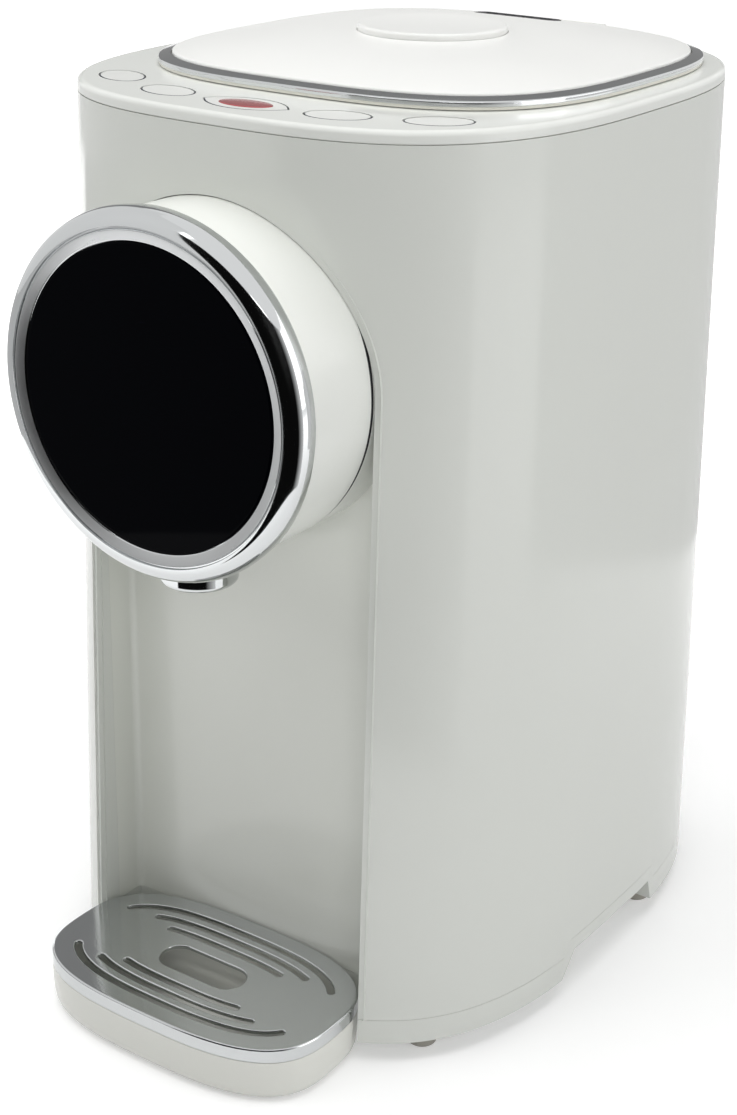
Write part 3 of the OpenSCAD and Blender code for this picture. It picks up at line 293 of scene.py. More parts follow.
# %% Mix the pot's finishes
MIXES = {  # colour, roughness, metallic, grain, drift of roughness, bump, grain of the bump, tint
    "white_gloss": ((0.80, 0.815, 0.78), 0.16, 0, 9, 0.04, 0.012, 160, 0.008),
    "casing_white": ((0.715, 0.732, 0.693), 0.13, 0, 9, 0.03, 0.012, 160, 0.008),
    "niche_white": ((0.76, 0.775, 0.725), 0.16, 0, 12, 0.04, 0.012, 160, 0.01),
    "head_white": ((0.835, 0.85, 0.81), 0.2, 0, 9, 0.04, 0.012, 160, 0.008),
    "tray_white": ((0.785, 0.79, 0.74), 0.22, 0, 20, 0.05, 0.02, 300, 0.01),
    "white_matt": ((0.74, 0.735, 0.70), 0.34, 0, 20, 0.05, 0.03, 300, 0.01),
    "key_white": ((0.83, 0.84, 0.81), 0.2, 0, 30, 0.04, 0.012, 260, 0.008),
    "lid_white": ((0.85, 0.853, 0.832), 0.3, 0, 14, 0.05, 0.012, 220, 0.008),
    "cream_rim": ((0.78, 0.765, 0.69), 0.3, 0, 20, 0.05, 0.02, 240, 0.01),
    "bright_chrome": ((0.63, 0.645, 0.65), 0.07, 1, 25, 0.03, 0.01, 90, 0.01),
    "satin_chrome": ((0.56, 0.57, 0.575), 0.3, 1, 60, 0.08, 0.12, 2600, 0.03),
    "tray_chrome": ((0.58, 0.595, 0.60), 0.11, 1, 50, 0.06, 0.05, 900, 0.02),
    "black_glass": ((0.0008, 0.001, 0.0018), 0.04, 0, 12, 0.01, 0.002, 144, 0.2),
    "key_gap_shade": ((0.012, 0.016, 0.028), 0.5, 0, 60, 0.05, 0.1, 720, 0.1),
    "red_inlay": ((0.36, 0.045, 0.05), 0.16, 0, 180, 0.05, 0.02, 2160, 0.12),
    "brushed_steel": ((0.72, 0.725, 0.73), 0.24, 1, 18, 0.05, 0.008, 216, 0.03),
    "plated_screw": ((0.50, 0.50, 0.49), 0.35, 1, 80, 0.1, 0.08, 960, 0.08),
    "cast_aluminium": ((0.52, 0.52, 0.53), 0.45, 1, 60, 0.1, 0.3, 720, 0.06),
    "dark_plastic": ((0.025, 0.025, 0.028), 0.42, 0, 60, 0.08, 0.25, 1800, 0.15),
    "grey_plastic": ((0.20, 0.205, 0.21), 0.4, 0, 60, 0.08, 0.2, 1500, 0.08),
    "natural_plastic": ((0.62, 0.60, 0.53), 0.45, 0, 40, 0.08, 0.12, 900, 0.04),
    "silicone": ((0.66, 0.63, 0.56), 0.55, 0, 50, 0.08, 0.08, 700, 0.05),
    "dark_rubber": ((0.035, 0.035, 0.037), 0.62, 0, 70, 0.08, 0.2, 1300, 0.15),
    "foot_rubber": ((0.40, 0.385, 0.34), 0.6, 0, 70, 0.08, 0.2, 1300, 0.08),
    "circuit_green": ((0.03, 0.16, 0.07), 0.35, 0, 150, 0.1, 0.3, 1100, 0.25),
}
EXTRAS = {
    "lid_white": {"shine": 0.2}, "black_glass": {"shine": 0.02}, "red_inlay": {"coat": 0.6},
    "brushed_steel": {"stretch": (1, 1, 9)},
}
FINISH = {name: finish(name, *mix, **EXTRAS.get(name, {})) for name, mix in MIXES.items()}
print("finishes", len(FINISH))

# %% [markdown]
# ## The nodes that stay
# Screws, pins, boards, hoses, the pump and the water pot are right as the CAD made them. Modelling them
# again would add nothing that shows, so they keep their meshes and only get the finishes above.

# %% Give every CAD node its finish
SLOT_FINISH = {  # the slots that aren't called after their finish
    "white_shell": "casing_white", "white_trim": "white_matt", "chrome_trim": "bright_chrome",
    "satin_trim": "tray_chrome", "display_black": "black_glass", "pot_steel": "brushed_steel",
    "screw_steel": "plated_screw", "plate_aluminium": "cast_aluminium", "board_green": "circuit_green",
    "key_red": "red_inlay",
}
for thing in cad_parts.values():
    for place in thing.material_slots:
        slot = place.material.name.split(".")[0] if place.material else ""
        place.material = FINISH.get(SLOT_FINISH.get(slot, slot), FINISH["natural_plastic"])

# %% [markdown]
# ## Finish a piece
# A finished piece is closed at its seams, faces outwards, is smooth except across sharp corners, and rides on
# its CAD body. The large flat faces could be given their shading one by one. A weighted normal modifier does
# it for all, and keeps them flat beside their small rounded edges.


# %% Turn a bmesh into a piece of the pot
def new_object(name, bm):
    """Ends a bmesh and puts its mesh into the scene."""
    mesh = bpy.data.meshes.new(name)
    bm.to_mesh(mesh)
    bm.free()
    made = bpy.data.objects.new(name, mesh)
    bpy.context.scene.collection.objects.link(made)
    return made


def make_piece(name, bm, finishes, body, slot, *nodes, recalc=True, sharp=40):
    merge(bm)
    bmesh.ops.delete(bm, geom=[e for e in bm.edges if not e.link_faces], context="EDGES")
    if recalc:
        face_outwards(bm)
    bmesh.ops.transform(bm, matrix=TO_FRAME, verts=bm.verts)
    piece = new_object(name, bm)
    mesh = piece.data
    mesh.shade_smooth()
    mesh.set_sharp_from_angle(angle=math.radians(sharp))
    piece.modifiers.new("flat faces", "WEIGHTED_NORMAL").keep_sharp = True
    for one in finishes:
        mesh.materials.append(FINISH[one])
    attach(piece, body)
    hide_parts(*nodes)
    print(name, len(mesh.vertices), "points", len(mesh.polygons), "faces")
    return piece


# %% [markdown]
# ## The casing
# The casing is one deep white shell. Its front is cut by an arched opening, whose round top takes the head
# and whose straight legs frame the niche. A boolean could cut it, but leaves crooked slivers along the cut.
# Instead every row of the sweep starts and ends at the arch's own edge, so the faces along it are even.

# %% The arch and the finger scoops as numbers
ARCH_RADIUS, ARCH_FOOT = 64.0, 65.4
ARCH_HEIGHT = RIM - 92.5
LIP_BACK, NICHE_BACK = -109.5, -96.0
CASING_WALL, LIP_ROUND, SEAM_WEAR = 2.4, 1.1, 0.25
BROW_TOP, SCOOP_TOP = BASE_SEAM + 6.6, FOOT_TOP + 11
BROW = [(-37.7, BASE_SEAM), (-33, BROW_TOP), (37, BROW_TOP), (39.5, BASE_SEAM)]
SCOOP = [(-38.5, FOOT_TOP), (-30, SCOOP_TOP), (34, SCOOP_TOP), (37.7, FOOT_TOP)]


def arch_half(z):
    """Half width of the arched opening at a height, 0 above its top."""
    if z <= ARCH_HEIGHT:
        return ARCH_FOOT + (ARCH_RADIUS - ARCH_FOOT) * (z + 1) / (ARCH_HEIGHT + 1)
    return math.sqrt(max(0.0, ARCH_RADIUS**2 - (z - ARCH_HEIGHT) ** 2))


def ramp(y, points):
    """Height of a broken line at a reach y."""
    for (y0, z0), (y1, z1) in zip(points, points[1:]):
        if y0 <= y <= y1:
            return z0 + (z1 - z0) * (y - y0) / (y1 - y0)
    return points[0][1]


print("arch centre", round(ARCH_HEIGHT, 2))

# %% [markdown]
# ## Columns where the corners are
# The finger scoops and the inlet's window have corners, and a corner stays crisp only if a column of the
# sweep passes through it. So the columns stand a degree apart or less, and some stand exactly on corners.


# %% Choose the columns of the sweep
def turn_of(share):
    """Turn at which the rear of the outline reaches a share of its half width."""
    return math.atan2((1 - abs(share) ** SQUARENESS) ** (1 / SQUARENESS), share)


INLET_HALF, INLET_LOW, INLET_HIGH = 15.3, 33.7, 58.3
FRONT_TURN, FRONT_STEPS = math.radians(-35), 40
SCOOP_LEVEL, INLET_LEVEL = 15, 46
NEAREST = 0.006
right_marks = [math.pi / 2 - turn_of(y / half_depth(SCOOP_LEVEL)) for y, _ in BROW + SCOOP]
rear_marks = [turn_of(x / half_width(INLET_LEVEL)) for x in (INLET_HALF, -INLET_HALF)]
marks = right_marks + [math.pi - t for t in right_marks] + rear_marks
even_turns = [math.radians(d) for d in range(-35, 216)]
side_turns = sorted(marks + [t for t in even_turns if min(abs(t - m) for m in marks) > NEAREST])


def body_row(z):
    """Row of points round the body from the arch's right edge, past the rear, to its left edge."""
    a, b = half_width(z), half_depth(z)
    edge = -turn_of(arch_half(z) / a)
    steps = [edge + (FRONT_TURN - edge) * k / FRONT_STEPS for k in range(FRONT_STEPS)]
    turns = steps + side_turns + [math.pi - t for t in reversed(steps)]
    return [Vector((*outline_point(a, b, SQUARENESS, turn), z)) for turn in turns]


print("columns", len(side_turns) + 2 * FRONT_STEPS)

# %% Sweep the casing from its lower seam to the collar
rows = [body_row(BASE_SEAM + SEAM_GAP)]
for point in rows[0]:
    point.z = ramp(point.y, BROW) + SEAM_GAP
rows += [body_row(z) for z in (28, INLET_LOW, INLET_HIGH, 90, 130, 170, 205, 235, 255)]
arch_steps = (*range(0, 81, 4), 83, 86, 88, 90)
rows += [body_row(z) for _, z in quarter(ARCH_RADIUS, ARCH_HEIGHT + ARCH_RADIUS, arch_steps)]
rows += [body_row(z) for z in (333, 338, 346, COLLAR_SEAM - SEAM_GAP)]
bm = bmesh.new()
sweep(bm, rows, closed=False)
merge(bm)
print("casing skin", len(bm.faces), "faces")

# %% Cut the inlet's window and fold the lip back into the niche
window = faces_at(bm, lambda m: m.y > 100 and abs(m.x) < INLET_HALF and INLET_LOW < m.z < INLET_HIGH)
bmesh.ops.delete(bm, geom=window, context="FACES")
arch_edges = [
    e for e in bm.edges
    if e.is_boundary and all(v.co.y < -90 and abs(v.co.x) < ARCH_FOOT + 1 for v in e.verts)
    and all(abs(v.co.z - COLLAR_SEAM) > 1 for v in e.verts)
    and not all(abs(v.co.z - BASE_SEAM) < 1 for v in e.verts)
]
for vertex in grow(bm, arch_edges)[0]:
    vertex.co.y = LIP_BACK
face_outwards(bm)
soften(bm, arch_edges, LIP_ROUND, 4)
face_outwards(bm)
print("edges along the arch", len(arch_edges))

# %% Give the casing its wall and worn seams
bmesh.ops.solidify(bm, geom=bm.faces, thickness=CASING_WALL)
round_edges(bm, SEAM_WEAR, 2, 60, only=lambda e: all(v.co.z < 30 or v.co.z > COLLAR_SEAM - 1 for v in e.verts))
make_piece("casing", bm, ["casing_white"], "pot_body", "white_shell", "outer_casing")

# %% [markdown]
# ## The niche liner
# Behind the arch stands the niche, a shallow upright tray with a soft inside corner. A bevel on the finished
# tray would round the walls' feet too. So the arch's outline is pushed back along Y and drawn in along a
# quarter circle before the back panel closes it.

# %% Draw the arch's outline and sweep it into the niche
CORNER, LINER_WALL, LINER_BOTTOM = 2.6, 2.0, BASE_SEAM + SEAM_GAP


def arch_line(inset, y):
    """Outline of the arch, from its right foot over the top to its left foot."""
    bore = ARCH_RADIUS - inset
    leg = (LINER_BOTTOM + (ARCH_HEIGHT - LINER_BOTTOM) * k / 12 for k in range(12))
    right = [Vector((arch_half(z) - inset, y, z)) for z in leg]
    turns = (math.radians(d) for d in range(0, 181, 4))
    round_top = [Vector((bore * math.cos(a), y, ARCH_HEIGHT + bore * math.sin(a))) for a in turns]
    return right + round_top + [Vector((-p.x, y, p.z)) for p in reversed(right)]


rows = [arch_line(0, LIP_BACK + SEAM_GAP)]
rows += [arch_line(inward, y) for inward, y in quarter(CORNER, NICHE_BACK, range(0, 91, 10))]
rows += [arch_line(CORNER + 1, NICHE_BACK)]
bm = bmesh.new()
_, inner = sweep(bm, rows, closed=False)
print("niche rows", len(rows))

# %% Close the niche's back panel and give it a wall
feet_of_arch = [v for v in {v for e in inner for v in e.verts} if abs(v.co.z - LINER_BOTTOM) < 0.01]
close(bm, inner + [bm.edges.new(feet_of_arch)])
face_along(bm, max(bm.faces, key=lambda f: f.calc_area()), (0, -1, 0))
bmesh.ops.solidify(bm, geom=bm.faces, thickness=LINER_WALL)
split_large_faces(bm)
make_piece("niche_panel", bm, ["niche_white"], "pot_body", "white_shell", "niche_liner", recalc=False)

# %% [markdown]
# ## The base band
# Under the casing runs the base cover. Its seam climbs over two finger scoops, by which the pot is lifted.
# Blocks could carve them, but their roofs would not follow the body's curve. So the band is the casing's
# sweep again, closed by the niche's three straight walls, and the scoops are pulled in from its lower edge.

# %% Sweep the base band down from the seam
SCOOP_WALL, BASE_WALL = 93.0, 2.0
TONGUE_HALF, TONGUE_LOW, TONGUE_HIGH = 22.3, 10.1, 13.7


def base_row(share):
    """Closed row of the base band, from its seam at share 0 to its lower edge at share 1."""
    arc = body_row(BASE_SEAM + (FOOT_TOP - BASE_SEAM) * share)
    for p in arc:
        top, bottom = ramp(p.y, BROW) - SEAM_GAP, ramp(p.y, SCOOP)
        p.z = top + (bottom - top) * share
    half, front, level = arc[0]
    depths = [front + (NICHE_BACK - front) * k / 4 for k in range(1, 5)]
    across = [half - 20, TONGUE_HALF, 0, -TONGUE_HALF, 20 - half]
    niche = [Vector((-half, y, level)) for y in depths] + [Vector((-x, NICHE_BACK, level)) for x in across]
    return arc + niche + [Vector((half, y, level)) for y in reversed(depths)]


levels = (BASE_SEAM, TONGUE_HIGH, TONGUE_LOW, FOOT_TOP)
bm = bmesh.new()
_, low_edges = sweep(bm, [base_row((BASE_SEAM - z) / (BASE_SEAM - FOOT_TOP)) for z in levels])
print("base skin", len(bm.faces), "faces")

# %% Pull the scoops in and close the underside
scoop_edges = [
    e for e in low_edges
    if max(v.co.z for v in e.verts) > FOOT_TOP + 0.05 and min(abs(v.co.x) for v in e.verts) > 90
]
roof, roof_edges = grow(bm, scoop_edges)
for vertex in roof:
    vertex.co.x = math.copysign(SCOOP_WALL, vertex.co.x)
for vertex in grow(bm, roof_edges)[0]:
    vertex.co.z = FOOT_TOP
merge(bm, 0.01)
under = [e for e in bm.edges if e.is_boundary and all(abs(v.co.z - FOOT_TOP) < 0.02 for v in e.verts)]
close(bm, under)
print("edges round the underside", len(under))

# %% Open the tray's socket and give the base its wall
socket = faces_at(
    bm, lambda m: abs(m.y - NICHE_BACK) < 0.1 and abs(m.x) < TONGUE_HALF and TONGUE_LOW < m.z < TONGUE_HIGH
)
bmesh.ops.delete(bm, geom=socket, context="FACES")
face_along(bm, min(bm.faces, key=lambda f: f.calc_center_median().z), (0, 0, -1))
bmesh.ops.solidify(bm, geom=bm.faces, thickness=BASE_WALL)
split_large_faces(bm)
make_piece("base_band", bm, ["casing_white"], "pot_body", "white_shell", "base_cover", recalc=False)

# %% [markdown]
# ## The top collar
# The collar caps the body: a flat deck with a rounded rim, five key openings and a round well for the lid's
# plug. Booleans would leave long thin faces across the deck. So the deck is filled between its outline and
# the outlines of its openings, and every opening is pulled down through the plate.

# %% Outlines of the keys
KEY_SPOTS = {  # x, y, turn in degrees
    "lock_key": (-69.4, -86.6, -32), "warm_key": (-37, -99.2, -14), "pour_key": (0, -101.9, 0),
    "boil_key": (37, -99.2, 14), "timer_key": (69.4, -86.6, 32),
}
KEY_LENGTH, KEY_WIDTH = 24.0, 16.0
POUR_LENGTH, POUR_WIDTH = 36.8, 19.6
KEY_POINTS, KEY_GAP = 72, 0.3


def key_outline(name, z, grow=0.0):
    """Points round a key: an oval, or for the middle key an eye with two pointed corners."""
    x0, y0, turn = KEY_SPOTS[name]
    if name == "pour_key":
        length, width = POUR_LENGTH + 2 * grow, POUR_WIDTH + 2 * grow
        radius = (length**2 + width**2) / (4 * width)
        reach = math.asin(length / 2 / radius)
        points = []
        for side in (1, -1):
            turns = (side * reach * (1 - 4 * k / KEY_POINTS) for k in range(KEY_POINTS // 2))
            arc = ((radius * math.sin(a), radius * (math.cos(a) - 1) + width / 2) for a in turns)
            points += [Vector((px, side * py, 0)) for px, py in arc]
    else:
        points = ring(KEY_LENGTH / 2 + grow, KEY_WIDTH / 2 + grow, 2, 0, 0, KEY_POINTS)
    spin = Matrix.Rotation(math.radians(turn), 3, "Z")
    return [spin @ p + Vector((x0, y0, z)) for p in points]


print("keys", len(KEY_SPOTS))

# %% Sweep the collar's band and pull the key openings down
RIM_ROUND, COLLAR_WALL = 2.0, 2.6
PLATE_UNDER = RIM - COLLAR_WALL


def body_ring(z, inset=0.0):
    return ring(half_width(z) - inset, half_depth(z) - inset, SQUARENESS, 0, z, 360)


seam = COLLAR_SEAM + SEAM_GAP
band = [body_ring(seam, 0.3), body_ring(seam + 0.3)]
band += [body_ring(z, inward) for inward, z in quarter(RIM_ROUND, RIM)]
bm = bmesh.new()
outside, deck = sweep(bm, band + [body_ring(RIM, RIM_ROUND + 0.4)])
inside, under = sweep(bm, [body_ring(seam, COLLAR_WALL), body_ring(PLATE_UNDER, COLLAR_WALL)])
bmesh.ops.bridge_loops(bm, edges=outside + inside)
for name in KEY_SPOTS:
    top, low = sweep(bm, [key_outline(name, RIM, KEY_GAP), key_outline(name, PLATE_UNDER, KEY_GAP)])
    deck, under = deck + top, under + low
print("collar skin", len(bm.faces), "faces")

# %% Sink the round well with its ledge, and fill the deck
POT_SHIFT, WELL, WELL_OUTSIDE, MOUTH, LEDGE = 18.0, 76.0, 78.5, 70.0, 86.0
LEDGE_TOP, LEDGE_LOW = RIM - 11.5, RIM - 14
CATCH_HIGH, CATCH_LOW = RIM - 3.6, RIM - 7.2
well_line = [(WELL, z) for z in (RIM, CATCH_HIGH, CATCH_LOW, LEDGE_TOP)]
well_line += [(MOUTH, LEDGE_TOP), (MOUTH, LEDGE_LOW), (LEDGE, LEDGE_LOW), (LEDGE, LEDGE_TOP)]
well_line += [(WELL_OUTSIDE, z) for z in (LEDGE_TOP, CATCH_LOW, CATCH_HIGH, PLATE_UNDER)]
top, low = sweep(bm, [ring(r, r, 2, POT_SHIFT, z, 160) for r, z in well_line])
fill_flat(bm, deck + top, 1)
fill_flat(bm, under + low, -1)
print("well depth", round(RIM - LEDGE_LOW, 1))

# %% Cut the latch's catch window through the well's wall
catch = faces_at(
    bm, lambda m: CATCH_LOW < m.z < CATCH_HIGH and m.y < 0 and abs(m.x) < 10
    and math.hypot(m.x, m.y - POT_SHIFT) < WELL_OUTSIDE + 1
)
bmesh.ops.delete(bm, geom=catch, context="FACES")
rims = [e for e in bm.edges if e.is_boundary]
bmesh.ops.bridge_loops(bm, edges=rims)
face_outwards(bm)
print("catch faces", len(catch), "rims", len(rims))

# %% Add the two hinge ears
HINGE_X, HINGE_Y, HINGE_HEIGHT, BARREL, EAR, EAR_FOOT = 17.3, 115.4, RIM + 1.9, 2.6, 6, 2.4
for side in (-1, 1):
    rod(bm, (BARREL, BARREL), EAR, (side * HINGE_X, HINGE_Y, HINGE_HEIGHT), 40, level=True)
    block(bm, (EAR, 2 * BARREL, EAR_FOOT), (side * HINGE_X, HINGE_Y, RIM + EAR_FOOT / 4))
make_piece("top_deck", bm, ["white_gloss"], "pot_body", "white_shell", "top_collar", recalc=False)

# %% [markdown]
# ## The keys
# Four oval keys and an eye-shaped pour key sit flush in the deck with a thin gap round each. The gap
# alone is too narrow for its shade to read as a line, so the sides and top edge of each cap have a dark
# finish, painted shade of the gap. The pour key carries a slightly domed red oval.

# %% Sweep the keys
KEY_FLANGE, STEM_RADIUS, STEM = 1.2, 2, 2.9
key_line = [(KEY_FLANGE, PLATE_UNDER - 1.3), (KEY_FLANGE, PLATE_UNDER - 0.3), (0, PLATE_UNDER - 0.3)]
key_line += [(0, RIM - 0.4), (-0.12, RIM - 0.12), (-0.5, RIM), (-0.9, RIM)]
for name, (x0, y0, _) in KEY_SPOTS.items():
    bm = bmesh.new()
    close(bm, *sweep(bm, [key_outline(name, z, grow) for grow, z in key_line]))
    rod(bm, (STEM_RADIUS, STEM_RADIUS), STEM, (x0, y0, PLATE_UNDER - 2.7), 24)
    # Below the flat top, the cap's sides and its outer top edge take the dark finish: painted shade of the gap round
    # the key.
    for face in bm.faces:
        face.material_index = 0 if face.calc_center_median().z > RIM - 0.03 else 1
    make_piece(name + "_cap", bm, ["key_white", "key_gap_shade"], name, "white_shell", name)

# %% Sweep the red oval
INLAY_LENGTH, INLAY_WIDTH = 22.0, 12.4
inlay_line = [(1, -1.2), (1, 0.02), (0.985, 0.12), (0.93, 0.22), (0.8, 0.32), (0.6, 0.4), (0.35, 0.45), (0.1, 0.46)]
inlay_y = KEY_SPOTS["pour_key"][1]
bm = bmesh.new()
close(bm, *sweep(bm, [
    ring(share * INLAY_LENGTH / 2, share * INLAY_WIDTH / 2, 2, inlay_y, RIM + lift, KEY_POINTS)
    for share, lift in inlay_line
]))
make_piece("red_oval", bm, ["red_inlay"], "pour_key", "key_red", "pour_inlay")

# %% [markdown]
# ## The feet
# Six short rubber feet taper a little towards the ground. Each is a cone with its tip cut off, and one bevel
# wears the edges of all of them at once.

# %% Make the feet
FOOT_SPOTS = ((78, -94.5), (96, 50), (56, 106))
FOOT_RADII, FOOT_ROUND = (5.8, 6.5), 0.9
bm = bmesh.new()
for x, y in FOOT_SPOTS:
    for side in (-1, 1):
        rod(bm, FOOT_RADII, FOOT_TOP, (side * x, y, FOOT_TOP / 2), 64)
round_edges(bm, FOOT_ROUND, 3, 60)
make_piece("rubber_feet", bm, ["foot_rubber"], "pot_body", "foot_rubber", "feet")

# %% [markdown]
# ## The round head
# Neck, shell, bezel ring and glass share one level axis. Cylinders cut out of each other would need a boolean
# for every step, and a lathe needs only half a section: a closed line of radius against reach.

# %% Turn profiles about the head's axis
HEAD_RADIUS, NECK_JOINT, HEAD_FRONT = 63.7, -115.0, -149.0
HEAD_CENTRE = Vector((0, 0, ARCH_HEIGHT))
SLEEVE = 61.1


def turned_head(points, steps=192):
    """Bmesh of a profile, given as radius and reach, turned about the head's axis."""
    bm = bmesh.new()
    profile = [HEAD_CENTRE + Vector((0, reach, radius)) for radius, reach in points]
    lathe(bm, profile, HEAD_CENTRE, (0, 1, 0), steps)
    return bm


def mark_faces(bm, test):
    """Gives the second finish to the faces whose radius and reach pass a test."""
    for face in bm.faces:
        middle = face.calc_center_median()
        face.material_index = int(test(math.hypot(middle.x, middle.z - ARCH_HEIGHT), middle.y))


print("head centre", round(ARCH_HEIGHT, 2))

# %% Turn the neck, with painted shade in the groove of its joint
NECK_RADIUS, NECK_BORE, FLANGE_REACH = 63.55, 51.7, -99
GROOVE_FLOOR, GROOVE_END, JOINT_GAP = 62.6, NECK_JOINT + 1.3, 0.12
bm = turned_head([
    (NECK_RADIUS, NICHE_BACK), (NECK_RADIUS, GROOVE_END), (GROOVE_FLOOR, GROOVE_END),
    (GROOVE_FLOOR, NECK_JOINT + JOINT_GAP), (SLEEVE, NECK_JOINT + JOINT_GAP), (SLEEVE, FLANGE_REACH),
    (NECK_BORE, FLANGE_REACH), (NECK_BORE, NICHE_BACK),
])
face_outwards(bm)
round_edges(bm, 0.15)
# The groove's faces take the dark finish: painted shade, for the shadow deep in the joint's gap.
mark_faces(bm, lambda radius, reach: radius < NECK_RADIUS - 0.15 and reach < GROOVE_END + 0.1)
make_piece("neck", bm, ["head_white", "dark_plastic"], "pot_body", "white_shell", "head_neck")

# %% Turn the head's barrel, with a painted shadow line where it enters the body
PAINTED_SHADOW_EDGE = NECK_JOINT - 0.6


def body_front(x, z):
    """Reach of the body's front skin at a width and height."""
    return -half_depth(z) * (1 - (abs(x) / half_width(z)) ** SQUARENESS) ** (1 / SQUARENESS)


bm = turned_head([
    (HEAD_RADIUS, NECK_JOINT - JOINT_GAP), (HEAD_RADIUS, PAINTED_SHADOW_EDGE), (HEAD_RADIUS, HEAD_FRONT + 0.4),
    (HEAD_RADIUS - 0.3, HEAD_FRONT + 0.1), (SLEEVE, HEAD_FRONT + 0.1), (SLEEVE, NECK_JOINT - JOINT_GAP),
])
for v in bm.verts:
    if abs(v.co.y - PAINTED_SHADOW_EDGE) < 0.01 and v.co.z > ARCH_HEIGHT:
        v.co.y = min(PAINTED_SHADOW_EDGE, body_front(v.co.x, v.co.z) + 0.5)
face_outwards(bm)
# The thin band of the barrel's outside next to the body takes the dark finish: painted shadow of the gap where the
# head enters the casing.
for face in bm.faces:
    outside = all(abs(math.hypot(v.co.x, v.co.z - ARCH_HEIGHT) - HEAD_RADIUS) < 0.01 for v in face.verts)
    face.material_index = int(outside and max(v.co.y for v in face.verts) > NECK_JOINT - 0.2)
make_piece("head_barrel", bm, ["head_white", "dark_plastic"], "pot_body", "white_shell", "head_shell")

# %% [markdown]
# ## The bezel ring
# The ring is the brightest thing on the pot. From the back it starts with a thin lip, swells into a polished
# crest, drops into a fine groove and slopes down to the glass with a satin grain. Three rings laid together
# would show seams in the mirror, so one profile holds them all, and the slope gets the second finish.

# %% Draw the ring's profile and turn it
BEZEL_RADIUS, BEZEL_FACE, CREST_START = 66.5, 11.4, 5.5
GLASS_RADIUS, GLASS_SEAT, GLASS_THICK = 55.0, 7.9, 2.2
GROOVE = GLASS_RADIUS + 4.4
CREST_RUN = BEZEL_RADIUS - GROOVE - 0.7
GLASS_EDGE = GLASS_SEAT + GLASS_THICK
ring_line = [(58.95, 6), (60.95, 6), (60.95, -0.02), (64.6, -0.02), (64.95, -0.12), (65.2, -0.5), (65.35, -1.1),
             (66.0, -1.75)]
ring_line += [
    (BEZEL_RADIUS - inward, -CREST_START - (BEZEL_FACE - CREST_START) * up / CREST_RUN)
    for inward, up in quarter(CREST_RUN, CREST_RUN, range(0, 91, 5))
]
groove_line = [(0.75, 0.1), (0.6, 0.45), (0.45, 0.9), (0, 0.9), (-0.15, 0.5), (-0.4, 0.25), (-0.8, 0.3)]
ring_line += [(GROOVE + out, back - BEZEL_FACE) for out, back in groove_line]
ring_line += [(GLASS_RADIUS + 0.5, -GLASS_EDGE - 0.12), (GLASS_RADIUS + 0.2, -GLASS_EDGE + 0.15),
              (GLASS_RADIUS + 0.15, -GLASS_SEAT), (52.5, -GLASS_SEAT), (52.5, 1.4 - GLASS_SEAT),
              (58.95, 1.4 - GLASS_SEAT)]
bm = turned_head([(radius, HEAD_FRONT + reach) for radius, reach in ring_line], 256)
mark_faces(bm, lambda radius, reach: GLASS_RADIUS + 0.4 < radius < GROOVE - 0.3 and reach < HEAD_FRONT - 8)
make_piece("bezel", bm, ["bright_chrome", "satin_chrome"], "pot_body", "chrome_trim", "bezel_ring")

# %% [markdown]
# ## The black glass
# A flat disc with a ground edge covers the display. It is black right through, so it is turned as one solid
# and not as a clear pane over a dark one.

# %% Turn the glass
GLASS_FRONT, AXIS = HEAD_FRONT - GLASS_EDGE, 0.001
bm = turned_head([(radius, GLASS_FRONT + depth) for radius, depth in (
    (AXIS, GLASS_THICK), (GLASS_RADIUS, GLASS_THICK), (GLASS_RADIUS, 0.5), (GLASS_RADIUS - 0.15, 0.15),
    (GLASS_RADIUS - 0.5, 0), (GLASS_RADIUS - 1.2, 0), (20, 0), (AXIS, 0),
)])
merge(bm, 0.01)
make_piece("front_glass", bm, ["black_glass"], "pot_body", "display_black", "display_glass")

# %% [markdown]
# ## The nozzle
# The nozzle is a short polished tube with a rounded lower edge, turned about an upright axis. Its bore could
# be painted black, but it is left open, so that it is dark inside by its own shade.

# %% Turn the nozzle
NOZZLE_Y, NOZZLE, BORE, FEED = -131.7, 14.5, 9.0, 4
NOZZLE_TIP = ARCH_HEIGHT - 75.3
bm = bmesh.new()
turn_upright(bm, [(radius, NOZZLE_TIP + up) for radius, up in (
    (BORE, 11.7), (BORE, 0.7), (BORE + 0.25, 0.2), (BORE + 0.8, 0), (NOZZLE - 1.9, 0), (NOZZLE - 0.9, 0.25),
    (NOZZLE - 0.25, 0.9), (NOZZLE, 1.9), (NOZZLE, 15.5), (7, 20), (FEED, 20), (FEED, 11.7),
)], NOZZLE_Y, 96)
make_piece("spout_tip", bm, ["bright_chrome"], "pot_body", "chrome_trim", "nozzle")

# %% [markdown]
# ## The lid
# The lid is a cream rim plate, a bright trim frame and a low white dome. A sphere pressed flat would not meet
# the squared outline all the way round. So the dome is swept from the round hole of the knob out to the trim,
# and every point is lifted to the height that its place between middle and edge asks for.

# %% Sweep the lid's trim frame
LID_SIDE, LID_DEPTH, LID_POWER, LID_STEPS = 93.6, 96.0, 3.05, 320
TRIM_LOW, TRIM_TOP, TRIM_WIDTH = trim_low.z / MM, trim_high.z / MM, 4.4
TRIM_SEAT, TRIM_FOOT, TRIM_CREST = TRIM_LOW + 0.02, TRIM_LOW - 0.6, TRIM_TOP + 1.0


def lid_ring(z, inset):
    return ring(LID_SIDE - inset, LID_DEPTH - inset, LID_POWER, LID_SHIFT, z, LID_STEPS)


